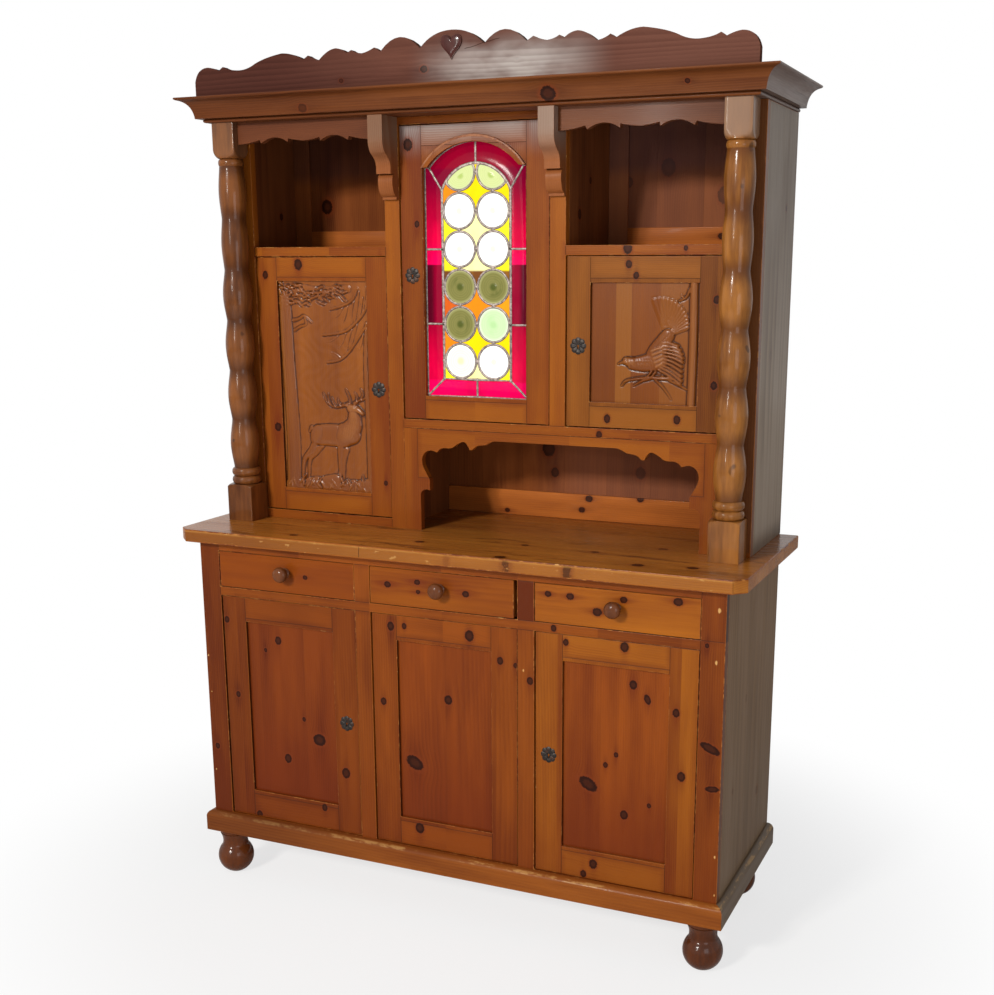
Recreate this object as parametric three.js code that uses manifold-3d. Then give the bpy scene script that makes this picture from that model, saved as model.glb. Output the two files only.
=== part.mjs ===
// Farmhouse buffet of knotty pine: a base with three drawers over three framed doors,
// and a hutch with turned columns, carved doors, a leaded glass door and open niches.
// Millimetres, +Z up, front towards -Y, resting on Z = 0.

import * as THREE from 'three';
import { mergeVertices } from 'three/addons/utils/BufferGeometryUtils.js';
import Module from 'manifold-3d';

const wasm = await Module();
wasm.setup();

// Clearances
const fit = 0.3;
const overrun = 2;

// Base carcass
const carcassWidth = 1400;
const baseDepth = 504;
const sideThickness = 22;
const boardThickness = 20;
const backThickness = 12;
const frameThickness = 22;

// Base front frame, from the bottom up and from the outside in
const plinthHeight = 56;
const doorOpeningHeight = 607;
const drawerRailHeight = 23;
const drawerOpeningHeight = 95;
const topRailHeight = 23.5;
const baseStileWidth = 57;
const mullionWidth = 43;
const mullionSpacing = 440;

// Plinth moulding
const plinthThickness = 18;
const plinthStep = 2;

// Feet
const footHeight = 127;
const footBallRadius = 48;
const footFlatRadius = 17;
const footNeckRadius = 35;
const footCollarRadius = 39;
const footCollarHeight = 14;
const footSideInset = 37;
const footFrontInset = 31;
const rearFootSideInset = 60;
const rearFootBackInset = 64;
const battenWidth = 60;

// Countertop
const counterThickness = 33;
const counterSideOverhang = 47;
const counterFrontOverhang = 34;
const counterCornerCut = 28;

// Drawers
const drawerReveal = 1.5;
const centreDrawerGap = 10;
const drawerFrontThickness = 20;
const drawerFrontRecess = 1;
const drawerWallThickness = 12;
const drawerBottomThickness = 8;
const trayBackGap = 50;
const trayHeight = 72;
const deckThickness = 12;
const guideHeight = 30;
const knobRadius = 20;
const knobReach = 38;
const knobNeckRadius = 9;
const knobFlangeRadius = 13;
const knobRise = 6;

// Doors
const doorThickness = 22;
const doorRecess = 4;
const doorSideGap = 2.5;
const doorEndGap = 2;
const panelRecess = 8;
const panelThickness = 8;
const panelRebate = 8;
const baseDoorStile = 68;
const baseDoorTopRail = 64;
const baseDoorBottomRail = 72;
const hutchDoorStile = 58;
const hutchDoorRail = 59;
const pivotRadius = 2.5;
const pivotInset = 5;
const pivotDepth = 8;
const pivotClearance = 0.4;
const pivotRoot = 12;

// Keyhole plates
const escutcheonRadius = 20;
const escutcheonThickness = 2.5;
const escutcheonScallop = 2.5;
const keyholeRadius = 3;

// Hutch carcass and front frame, heights from the countertop up
const hutchSetback = 195;
const hutchHeight = 1003.5;
const hutchSideThickness = 20;
const hutchStileWidth = 78;
const hutchMullionWidth = 40.5;
const hutchMullionSpacing = 436;
const hutchBottomRail = 23.5;
const openNicheHeight = 260;
const lowRailHeight = 22.5;
const shelfRailBase = 680.5;
const shelfRailHeight = 23;
const hutchTopRail = 18;
const glassShelfHeight = 640;
const glassShelfThickness = 18;
const glassShelfSetback = 32;

// Apron frame of the open niche
const apronThickness = 18;
const apronStileWidth = 44;
const apronRailHeight = 22.5;

// Turned columns
const columnBlock = 75;
const columnBlockHeight = 96;
const columnShoulder = 13;
const columnSideInset = 8;
const columnTopBlock = 63;
const columnTopBlockHeight = 86;
const columnTopShoulder = 20;
const footRingHeight = 21.5;
const topRingRadius = 32;
const topRingHeight = 17;
const waistRadius = 30;
const upperBulgeRadius = 34.5;
const bulgeCount = 6;

// Brackets and valances under the cornice
const bracketWidth = 39;
const bracketHeight = 190;
const valanceHeight = 52;
const valanceThickness = 18;
const valanceSetback = 25;

// Cornice
const corniceHeight = 57;
const corniceReach = 50;
const corniceLip = 3;
const corniceBandThickness = 22;
const corniceBoard = 16;
const beadHeight = 8.5;
const coveStep = 14;
const corniceFillet = 6;
const coveToe = 4;

// Crest board
const crestHalfWidth = 703;
const crestHeight = 111;
const crestThickness = 20;
const crestSetback = 27;
const heartWidth = 52;
const heartHeight = 54;
const heartRise = 48;
const heartRelief = 4;

// Glass door: its opening, and the moulded hood over the arch
const glassHalfWidth = 136;
const glassSill = 57;
const glassTopRail = 98;
const hoodHalfWidth = 137;
const hoodRise = 73;
const hoodWidth = 17;
const hoodLip = 4;
const hoodProud = 8;
const glassRecess = 12;
const glassThickness = 4;
const glassRebate = 8;

// Lead came of the glass door: an arched inner frame filled with round panes
const cameThickness = 2.5;
const cameWidth = 7;
const cameLap = 1;
const innerCameHalfWidth = 90;
const innerCameMargin = 43;
const innerCameDrop = 52;
const innerCameRise = 61;

// Outlines as shares of the sizes that they follow
const mirror = -1;
const crestShares = [
  ['Q', 0.07, 1, 0.114, 0.694],
  ['Q', 0.187, 1.18, 0.26, 0.685],
  ['L', 0.283, 0.77],
  ['Q', 0.31, 0.69, 0.33, 0.676],
  ['Q', 0.355, 0.69, 0.37, 0.755],
  ['L', 0.387, 0.7],
  ['Q', 0.405, 0.8, 0.43, 0.811],
  ['Q', 0.46, 0.8, 0.494, 0.604],
  ['Q', 0.52, 0.63, 0.537, 0.707],
  ['L', 0.556, 0.635],
  ['Q', 0.6, 0.79, 0.642, 0.788],
  ['Q', 0.72, 0.72, 0.76, 0.585],
  ['Q', 0.79, 0.5, 0.82, 0.509],
  ['Q', 0.86, 0.52, 0.882, 0.6],
  ['L', 0.899, 0.527],
  ['Q', 0.925, 0.6, 0.946, 0.608],
  ['Q', 0.99, 0.6, 1, 0.31],
  ['L', 1, 0],
];
const apronShares = [
  ['L', 0.432, 1],
  ['Q', 0.46, 0.995, 0.5, 0.955],
  ['Q', 0.53, 0.95, 0.555, 0.945],
  ['Q', 0.585, 0.93, 0.602, 0.895],
  ['L', 0.622, 0.895],
  ['Q', 0.645, 0.985, 0.675, 0.975],
  ['Q', 0.715, 0.955, 0.745, 0.912],
  ['Q', 0.775, 0.895, 0.805, 0.9],
  ['Q', 0.845, 0.905, 0.87, 0.848],
  ['L', 0.885, 0.856],
  ['Q', 0.93, 0.885, 0.965, 0.835],
  ['Q', 1, 0.775, 0.975, 0.68],
  ['Q', 0.955, 0.62, 0.928, 0.555],
  ['L', 0.928, 0.437],
  ['Q', 0.955, 0.455, 0.98, 0.435],
  ['Q', 1, 0.415, 1, 0.375],
  ['L', 1, 0],
];
const valanceShares = [
  ['Q', 0.13, 0.9, 0.233, 0.8],
  ['L', 0.24, 0.965],
  ['Q', 0.433, 0.5, 0.642, 0.98],
  ['L', 0.665, 0.82],
  ['Q', 0.8, 0.97, 1, 1],
];
const valanceMiddleShare = 0.93;
const bracketShares = [
  ['L', 1, 0.31],
  ['Q', 0.98, 0.42, 0.76, 0.47],
  ['Q', 0.5, 0.53, 0.5, 0.62],
  ['L', 0.5, 0.69],
  ['L', 0.27, 0.69],
  ['Q', 0.44, 0.71, 0.4, 0.83],
  ['Q', 0.33, 0.95, 0.13, 0.97],
  ['L', 0.13, 1],
  ['L', 0, 1],
];
const heartDipShare = 0.78;
const heartShares = [
  [[0.04, 0.98], [0.5, 1.12], [0.5, 0.72]],
  [[0.5, 0.44], [0.14, 0.3]],
];
const knobShares = [
  [0.16, 0.62],
  [0.3, 0.45],
  [0.42, 0.72],
  [0.56, 0.97],
  [0.7, 1],
  [0.84, 0.86],
  [0.95, 0.5],
];

// Number of facets
const curveSteps = 8;
const turnedSides = 16;
const pinSides = 10;
const ballRings = 7;
const bulgeSteps = 6;
const ringSteps = 4;
const roundelSides = 12;
const petals = 8;

// Levels and lines that follow from the sizes above
const doorOpeningBase = footHeight + plinthHeight;
const drawerRailBase = doorOpeningBase + doorOpeningHeight;
const drawerOpeningBase = drawerRailBase + drawerRailHeight;
const topRailBase = drawerOpeningBase + drawerOpeningHeight;
const baseHeight = topRailBase + topRailHeight;
const counterTop = baseHeight + counterThickness;
const halfWidth = carcassWidth / 2;
const innerHalfWidth = halfWidth - sideThickness;
const carcassFront = frameThickness + fit;
const backFace = baseDepth - backThickness - fit;
const mullionX = mullionSpacing / 2;
const hutchMullionX = hutchMullionSpacing / 2;
const hutchInnerHalfWidth = halfWidth - hutchSideThickness;
const hutchInside = hutchSetback + frameThickness + fit;
const lowRailTop = openNicheHeight + lowRailHeight;
const shelfRailTop = shelfRailBase + shelfRailHeight;
const topRailUnderside = hutchHeight - hutchTopRail;
const hutchDividerOuter = hutchMullionX + hutchMullionWidth / 2;
const hutchDividerInner = hutchDividerOuter - boardThickness;
const columnX = halfWidth - columnSideInset - columnBlock / 2;
const columnY = hutchSetback - fit - columnBlock / 2;
const shaftRadius = columnBlock / 2 - fit;
const bracketReach = columnBlock - fit;
const beadFront = hutchSetback - columnBlock - fit - corniceLip;
const beadSide = halfWidth + corniceLip;
const trayFront = drawerFrontRecess + drawerFrontThickness + fit;
const trayDepth = backFace - trayBackGap - trayFront;
const apronArchHeight = openNicheHeight - apronRailHeight;
const archHalfWidth = hoodHalfWidth - hoodWidth + hoodLip;
const archRise = hoodRise - hoodWidth + hoodLip;
const innerCameSill = glassSill + innerCameMargin;
const roundelPitch = innerCameHalfWidth - cameLap;
const roundelRadius = (roundelPitch + cameLap - cameWidth) / 2;

// Materials
function wood(colour, roughness) {
  return new THREE.MeshStandardMaterial({ color: colour, roughness: roughness, metalness: 0 });
}
const amberPine = wood(0x9a5a24, 0.42);
const redPine = wood(0x83401f, 0.45);
const palePine = wood(0xb07c3a, 0.4);
const innerPine = wood(0x7a4a28, 0.6);
const darkTurning = wood(0x6b3f22, 0.3);
const footStain = wood(0x4a2a1a, 0.35);
const crestPine = wood(0x73523f, 0.45);
const ironBlack = new THREE.MeshStandardMaterial({ color: 0x25211f, roughness: 0.5, metalness: 0.8 });
const leadGrey = new THREE.MeshStandardMaterial({ color: 0x7c746f, roughness: 0.45, metalness: 0.7 });
const redGlass = new THREE.MeshStandardMaterial({ color: 0xb8002e, roughness: 0.15, metalness: 0 });

// Solids from closed geometry, and back
function toSolid(geometry) {
  const bare = geometry.clone();
  bare.deleteAttribute('normal');
  bare.deleteAttribute('uv');
  const merged = mergeVertices(bare);
  const mesh = new wasm.Mesh({
    numProp: 3,
    vertProperties: new Float32Array(merged.attributes.position.array),
    triVerts: new Uint32Array(merged.index.array),
  });
  return new wasm.Manifold(mesh);
}

function toGeometry(solid) {
  const mesh = solid.getMesh();
  const geometry = new THREE.BufferGeometry();
  geometry.setAttribute('position', new THREE.BufferAttribute(mesh.vertProperties, 3));
  geometry.setIndex(new THREE.BufferAttribute(mesh.triVerts, 1));
  geometry.computeVertexNormals();
  return geometry;
}

function join(geometries) {
  return toGeometry(geometries.map(toSolid).reduce((whole, piece) => whole.add(piece)));
}

function cut(geometry, cutters) {
  return toGeometry(cutters.map(toSolid).reduce((whole, piece) => whole.subtract(piece), toSolid(geometry)));
}

function common(first, second) {
  return toGeometry(toSolid(first).intersect(toSolid(second)));
}

// A box between two corners
function box(x0, x1, y0, y1, z0, z1) {
  const geometry = new THREE.BoxGeometry(x1 - x0, y1 - y0, z1 - z0);
  geometry.translate((x0 + x1) / 2, (y0 + y1) / 2, (z0 + z1) / 2);
  return geometry;
}

// A shape drawn in X and Z, cut from a board whose front face is at y0
function fretwork(shape, y0, thickness) {
  const geometry = new THREE.ExtrudeGeometry(shape, {
    depth: thickness,
    bevelEnabled: false,
    curveSegments: curveSteps,
  });
  geometry.rotateX(Math.PI / 2);
  geometry.translate(0, y0 + thickness, 0);
  return geometry;
}

// A section drawn in Y and Z, run along X from x0 to x1
const alongX = new THREE.Matrix4().makeBasis(
  new THREE.Vector3(0, 1, 0),
  new THREE.Vector3(0, 0, 1),
  new THREE.Vector3(1, 0, 0),
);
function run(shape, x0, x1) {
  const geometry = new THREE.ExtrudeGeometry(shape, {
    depth: x1 - x0,
    bevelEnabled: false,
    curveSegments: curveSteps,
  });
  geometry.applyMatrix4(alongX);
  geometry.translate(x0, 0, 0);
  return geometry;
}

// A turned solid on the Z axis from [radius, height] pairs
function turned(profile, sides) {
  const points = profile.map(([radius, height]) => new THREE.Vector2(radius, height));
  const geometry = new THREE.LatheGeometry(points, sides);
  geometry.rotateX(Math.PI / 2);
  return geometry;
}

// A round pin along Z
function pin(radius, x, y, z0, z1) {
  const geometry = new THREE.CylinderGeometry(radius, radius, z1 - z0, pinSides);
  geometry.rotateX(Math.PI / 2);
  geometry.translate(x, y, (z0 + z1) / 2);
  return geometry;
}

// A rectangle and a list of outline steps, as paths
function rectangle(path, x0, x1, z0, z1) {
  path.moveTo(x0, z0);
  path.lineTo(x1, z0);
  path.lineTo(x1, z1);
  path.lineTo(x0, z1);
  path.closePath();
  return path;
}

function trace(path, steps, place) {
  for (const [kind, ...shares] of steps) {
    const ends = [];
    for (let i = 0; i < shares.length; i += 2) {
      ends.push(...place(shares[i], shares[i + 1]));
    }
    if (kind === 'L') path.lineTo(...ends);
    else path.quadraticCurveTo(...ends);
  }
}

// The same steps walked back from their end to a given start
function reversed(steps, start) {
  const ends = [start, ...steps.map((step) => step.slice(-2))];
  const back = steps.map((step, i) => [step[0], ...step.slice(1, -2), ...ends[i]]);
  return back.reverse();
}

// The outline of an opening with upright sides and a segment of a circle on top
function arched(path, sideHalf, sill, spring, archHalf, rise) {
  const radius = (archHalf * archHalf + rise * rise) / (2 * rise);
  const centre = spring + rise - radius;
  const angle = Math.atan2(spring - centre, archHalf);
  path.moveTo(-sideHalf, sill);
  path.lineTo(sideHalf, sill);
  path.lineTo(sideHalf, spring);
  if (archHalf < sideHalf) path.lineTo(archHalf, spring);
  path.absarc(0, centre, radius, angle, Math.PI - angle, false);
  if (archHalf < sideHalf) path.lineTo(-sideHalf, spring);
  path.lineTo(-sideHalf, sill);
  return path;
}

// Scene graph
const cabinet = new THREE.Group();
const lower = new THREE.Group();
const upper = new THREE.Group();
upper.position.z = counterTop;
cabinet.add(lower, upper);

function place(parent, name, geometry, material, x = 0, y = 0, z = 0) {
  const mesh = new THREE.Mesh(geometry, material);
  mesh.name = name;
  mesh.position.set(x, y, z);
  parent.add(mesh);
  return mesh;
}

// Feet: a turned ball with a collar, cut flat where it stands
function footProfile() {
  const centre = Math.sqrt(footBallRadius ** 2 - footFlatRadius ** 2);
  const low = Math.asin(-centre / footBallRadius);
  const high = Math.acos(footNeckRadius / footBallRadius);
  const profile = [[0, 0]];
  for (let i = 0; i <= ballRings; i += 1) {
    const angle = low + ((high - low) * i) / ballRings;
    profile.push([footBallRadius * Math.cos(angle), centre + footBallRadius * Math.sin(angle)]);
  }
  const collarTop = footHeight - fit;
  const collarBase = collarTop - footCollarHeight;
  const neckTop = (collarBase + centre + footBallRadius * Math.sin(high)) / 2;
  profile.push([footNeckRadius, neckTop]);
  profile.push([(footNeckRadius + footCollarRadius) / 2, collarBase]);
  profile.push([footCollarRadius, (collarBase + collarTop) / 2]);
  profile.push([footCollarRadius, collarTop]);
  profile.push([0, collarTop]);
  return profile;
}

function makeFeet() {
  const foot = turned(footProfile(), turnedSides);
  for (const [side, sign] of [['left', -1], ['right', 1]]) {
    place(lower, `foot_front_${side}`, foot, footStain, sign * (halfWidth - footSideInset), footFrontInset);
    const rearX = sign * (halfWidth - rearFootSideInset);
    place(lower, `foot_rear_${side}`, foot, footStain, rearX, baseDepth - rearFootBackInset);
  }
}

// Plinth: one section, mitred at the corners, round the front and both sides
function plinthSection() {
  const shape = new THREE.Shape();
  shape.moveTo(fit, 0);
  shape.lineTo(plinthThickness, 0);
  const round = plinthThickness - plinthStep;
  shape.lineTo(plinthThickness, plinthHeight - round);
  shape.absarc(plinthStep, plinthHeight - round, round, 0, Math.PI / 2, false);
  shape.lineTo(fit, plinthHeight);
  shape.closePath();
  return shape;
}

// A moulding whose section is drawn outwards and upwards from a rectangle's front and
// side lines. Each run ends at a mitre, so a corner point goes out as far as it stands out.
function mouldingRun(section, length, corner) {
  const geometry = new THREE.ExtrudeGeometry(section, {
    depth: length,
    bevelEnabled: false,
    curveSegments: curveSteps,
  });
  const points = geometry.attributes.position;
  for (let i = 0; i < points.count; i += 1) {
    const [x, y] = corner(points.getX(i), points.getZ(i) > 0);
    points.setXYZ(i, x, y, points.getY(i));
  }
  return geometry;
}

function mitredMoulding(section, half, front, back) {
  const depth = back - front;
  return join([
    mouldingRun(section, 2 * half, (out, end) => [(end ? -1 : 1) * (half + out), front - out]),
    mouldingRun(section, depth, (out, end) => [half + out, end ? front - out : back]),
    mouldingRun(section, depth, (out, end) => [-half - out, end ? back : front - out]),
  ]);
}

function makePlinth() {
  const plinth = mitredMoulding(plinthSection(), halfWidth, 0, baseDepth);
  place(lower, 'plinth_moulding', plinth, amberPine, 0, 0, footHeight);
}

// Base carcass boards
function makeBaseBoards() {
  const side = box(0, sideThickness, carcassFront, baseDepth, footHeight, baseHeight - fit);
  place(lower, 'base_side_left', side, amberPine, -halfWidth);
  place(lower, 'base_side_right', side, amberPine, halfWidth - sideThickness);
  const inner = innerHalfWidth - fit;
  const bottomBase = doorOpeningBase - boardThickness;
  const battenEnd = carcassFront + battenWidth;
  const rearBatten = baseDepth - rearFootBackInset - battenWidth / 2;
  const bottom = join([
    box(-inner, inner, carcassFront, backFace, bottomBase, doorOpeningBase),
    box(-inner, inner, carcassFront, battenEnd, footHeight, bottomBase + fit),
    box(-inner, inner, rearBatten, rearBatten + battenWidth, footHeight, bottomBase + fit),
  ]);
  place(lower, 'base_bottom', bottom, innerPine);
  const back = box(-inner, inner, backFace + fit, baseDepth, footHeight, baseHeight - fit);
  place(lower, 'base_back', back, innerPine);
  const dividerTop = drawerOpeningBase - deckThickness - fit;
  const divider = box(-boardThickness / 2, boardThickness / 2, carcassFront, backFace,
    doorOpeningBase + fit, dividerTop);
  place(lower, 'base_divider_left', divider, innerPine, -mullionX);
  place(lower, 'base_divider_right', divider, innerPine, mullionX);
}

// The board that the drawers run on, with guide strips between them
function makeDrawerDeck() {
  const inner = innerHalfWidth - fit;
  const deckTop = drawerOpeningBase;
  const guideTop = deckTop + guideHeight;
  const outerGuide = halfWidth - baseStileWidth;
  const strips = [
    [-inner, -outerGuide],
    [-mullionX - mullionWidth / 2, -mullionX + mullionWidth / 2],
    [mullionX - mullionWidth / 2, mullionX + mullionWidth / 2],
    [outerGuide, inner],
  ];
  const shape = new THREE.Shape();
  shape.moveTo(-inner, deckTop - deckThickness);
  shape.lineTo(inner, deckTop - deckThickness);
  for (const [x0, x1] of strips.slice().reverse()) {
    if (x1 < inner) shape.lineTo(x1, deckTop);
    shape.lineTo(x1, guideTop);
    shape.lineTo(x0, guideTop);
    if (x0 > -inner) shape.lineTo(x0, deckTop);
  }
  shape.closePath();
  place(lower, 'drawer_deck', fretwork(shape, carcassFront, backFace - carcassFront), innerPine);
}

// Doors turn on pins that sit in these sockets of the frame above and below
function sockets(doors) {
  return doors.flatMap((door) => {
    const x = door.pivotX;
    const y = door.pivotY;
    const radius = pivotRadius + pivotClearance;
    const low = door.openingBase;
    const high = door.openingBase + door.openingHeight;
    return [
      pin(radius, x, y, low - pivotDepth, low + overrun),
      pin(radius, x, y, high - overrun, high + pivotDepth),
    ];
  });
}

// A door hung in an opening: its pivot stands near the front corner of its hinged edge
function doorIn(name, x0, x1, openingBase, openingHeight, hinge, frameFront) {
  const left = x0 + doorSideGap;
  const right = x1 - doorSideGap;
  const hingeEdge = hinge === 'left' ? left : right;
  const inward = hinge === 'left' ? 1 : -1;
  return {
    name,
    hinge,
    inward,
    openingBase,
    openingHeight,
    width: right - left,
    height: openingHeight - 2 * doorEndGap,
    pivotX: hingeEdge + inward * pivotInset,
    pivotY: frameFront + doorRecess + pivotInset,
  };
}

const bayEdges = {
  left: [-halfWidth + baseStileWidth, -mullionX - mullionWidth / 2],
  centre: [-mullionX + mullionWidth / 2, mullionX - mullionWidth / 2],
  right: [mullionX + mullionWidth / 2, halfWidth - baseStileWidth],
};
const baseDoors = [
  doorIn('base_door_left', ...bayEdges.left, doorOpeningBase, doorOpeningHeight, 'left', 0),
  doorIn('base_door_centre', ...bayEdges.centre, doorOpeningBase, doorOpeningHeight, 'right', 0),
  doorIn('base_door_right', ...bayEdges.right, doorOpeningBase, doorOpeningHeight, 'right', 0),
];

// An opening sawn right through a board whose front is at y0
function opening(x0, x1, z0, z1, y0, thickness) {
  return box(x0, x1, y0 - overrun, y0 + thickness + overrun, z0, z1);
}

function makeBaseFrame() {
  const openings = Object.values(bayEdges).flatMap(([x0, x1]) => [
    opening(x0, x1, doorOpeningBase, drawerRailBase, 0, frameThickness),
    opening(x0, x1, drawerOpeningBase, topRailBase, 0, frameThickness),
  ]);
  const board = box(-halfWidth, halfWidth, 0, frameThickness, footHeight, baseHeight - fit);
  place(lower, 'base_front_frame', cut(board, [...openings, ...sockets(baseDoors)]), amberPine);
}

// Countertop with its two front corners cut off
function makeCountertop() {
  const x = halfWidth + counterSideOverhang;
  const shape = new THREE.Shape();
  shape.moveTo(-x + counterCornerCut, -counterFrontOverhang);
  shape.lineTo(x - counterCornerCut, -counterFrontOverhang);
  shape.lineTo(x, -counterFrontOverhang + counterCornerCut);
  shape.lineTo(x, baseDepth);
  shape.lineTo(-x, baseDepth);
  shape.lineTo(-x, -counterFrontOverhang + counterCornerCut);
  shape.closePath();
  const geometry = new THREE.ExtrudeGeometry(shape, { depth: counterThickness - fit, bevelEnabled: false });
  place(lower, 'countertop', geometry, palePine, 0, 0, baseHeight);
}

// Drawers: front board, tray behind it and a turned knob
function trayGeometry(width) {
  const half = width / 2;
  const outside = box(-half, half, 0, trayDepth, 0, trayHeight);
  const inside = box(-half + drawerWallThickness, half - drawerWallThickness, drawerWallThickness,
    trayDepth - drawerWallThickness, drawerBottomThickness, trayHeight + overrun);
  return cut(outside, [inside]);
}

function knobGeometry() {
  const profile = [
    [0, 0],
    [knobFlangeRadius, 0],
    [knobFlangeRadius, knobNeckRadius / 3],
    ...knobShares.map(([reachShare, radiusShare]) => [knobRadius * radiusShare, knobReach * reachShare]),
    [0, knobReach],
  ];
  const geometry = turned(profile, turnedSides);
  geometry.rotateX(Math.PI / 2);
  return geometry;
}

function makeDrawers() {
  const knob = knobGeometry();
  const frontHeight = drawerOpeningHeight - 2 * drawerReveal;
  const frontBase = drawerOpeningBase + drawerReveal;
  for (const [bay, [x0, x1]] of Object.entries(bayEdges)) {
    const gap = bay === 'centre' ? centreDrawerGap : drawerReveal;
    const left = x0 + drawerReveal;
    const right = x1 - gap;
    const middle = (x0 + x1) / 2;
    const front = box(left, right, 0, drawerFrontThickness, 0, frontHeight);
    place(lower, `drawer_front_${bay}`, front, amberPine, 0, drawerFrontRecess, frontBase);
    const tray = trayGeometry(x1 - x0 - 2 * drawerReveal);
    place(lower, `drawer_tray_${bay}`, tray, innerPine, middle, trayFront, drawerOpeningBase + fit);
    const knobHeight = frontBase + frontHeight / 2 + knobRise;
    const knobX = (left + right) / 2;
    place(lower, `drawer_knob_${bay}`, knob, darkTurning, knobX, drawerFrontRecess - fit, knobHeight);
  }
}

// Keyhole plate: a rosette of eight petals, pierced for the key
function escutcheonGeometry() {
  const shape = new THREE.Shape();
  const steps = petals * curveSteps;
  for (let i = 0; i < steps; i += 1) {
    const angle = (2 * Math.PI * i) / steps;
    const radius = escutcheonRadius - escutcheonScallop * (1 - Math.abs(Math.cos((petals * angle) / 2)));
    const x = radius * Math.cos(angle);
    const z = radius * Math.sin(angle);
    if (i === 0) shape.moveTo(x, z);
    else shape.lineTo(x, z);
  }
  shape.closePath();
  const keyhole = new THREE.Path();
  keyhole.absarc(0, 0, keyholeRadius, 0, 2 * Math.PI, true);
  shape.holes.push(keyhole);
  return fretwork(shape, 0, escutcheonThickness);
}

// Door frame: stiles and rails with a rebate behind, and the two pins it turns on
function doorPins(door) {
  const x = -door.inward * (door.width / 2 - pivotInset);
  const reach = doorEndGap + pivotDepth - fit;
  return [
    pin(pivotRadius, x, pivotInset, -reach, pivotRoot),
    pin(pivotRadius, x, pivotInset, door.height - pivotRoot, door.height + reach),
  ];
}

function frameGeometry(door, daylight, rebate, recess, extras) {
  const half = door.width / 2;
  const face = rectangle(new THREE.Shape(), -half, half, 0, door.height);
  face.holes.push(daylight);
  const rear = rectangle(new THREE.Shape(), -half, half, 0, door.height);
  rear.holes.push(rebate);
  return join([
    fretwork(face, 0, recess),
    fretwork(rear, recess, doorThickness - recess),
    ...doorPins(door),
    ...extras,
  ]);
}

function doorGroup(parent, door) {
  const group = new THREE.Group();
  group.position.set(door.pivotX, door.pivotY, door.openingBase + doorEndGap);
  parent.add(group);
  return group;
}

function hang(group, door, name, geometry, material, y = 0, z = 0) {
  const x = door.inward * (door.width / 2 - pivotInset);
  return place(group, name, geometry, material, x, y - pivotInset, z);
}

function addEscutcheon(group, door, stile, drop) {
  const plate = escutcheonGeometry();
  plate.translate(door.inward * (door.width / 2 - stile / 2), 0, 0);
  const height = door.height / 2 - drop;
  hang(group, door, `${door.name}_escutcheon`, plate, ironBlack, -escutcheonThickness - fit, height);
}

function makePanelDoor(parent, door, stile, bottomRail, topRail, panelMaterial) {
  const half = door.width / 2 - stile;
  const top = door.height - topRail;
  const daylight = rectangle(new THREE.Path(), -half, half, bottomRail, top);
  const outer = half + panelRebate;
  const rebate = rectangle(new THREE.Path(), -outer, outer, bottomRail - panelRebate, top + panelRebate);
  const group = doorGroup(parent, door);
  hang(group, door, `${door.name}_frame`, frameGeometry(door, daylight, rebate, panelRecess, []), amberPine);
  const edge = outer - fit;
  const low = bottomRail - panelRebate + fit;
  const panel = box(-edge, edge, 0, panelThickness, low, top + panelRebate - fit);
  hang(group, door, `${door.name}_panel`, panel, panelMaterial, panelRecess + fit);
  return group;
}

function makeBaseDoors() {
  for (const door of baseDoors) {
    const group = makePanelDoor(lower, door, baseDoorStile, baseDoorBottomRail, baseDoorTopRail, redPine);
    if (door.name !== 'base_door_centre') addEscutcheon(group, door, baseDoorStile, 0);
  }
}

// Hutch openings and doors
const hutchBays = {
  left: [-halfWidth + hutchStileWidth, -hutchMullionX - hutchMullionWidth / 2],
  centre: [-hutchMullionX + hutchMullionWidth / 2, hutchMullionX - hutchMullionWidth / 2],
  right: [hutchMullionX + hutchMullionWidth / 2, halfWidth - hutchStileWidth],
};
const leftDoor = doorIn('hutch_door_left', ...hutchBays.left, hutchBottomRail,
  shelfRailBase - hutchBottomRail, 'left', hutchSetback);
const glassDoor = doorIn('glass_door', ...hutchBays.centre, lowRailTop,
  topRailUnderside - lowRailTop, 'right', hutchSetback);
const rightDoor = doorIn('hutch_door_right', ...hutchBays.right, lowRailTop,
  shelfRailBase - lowRailTop, 'right', hutchSetback);

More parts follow.
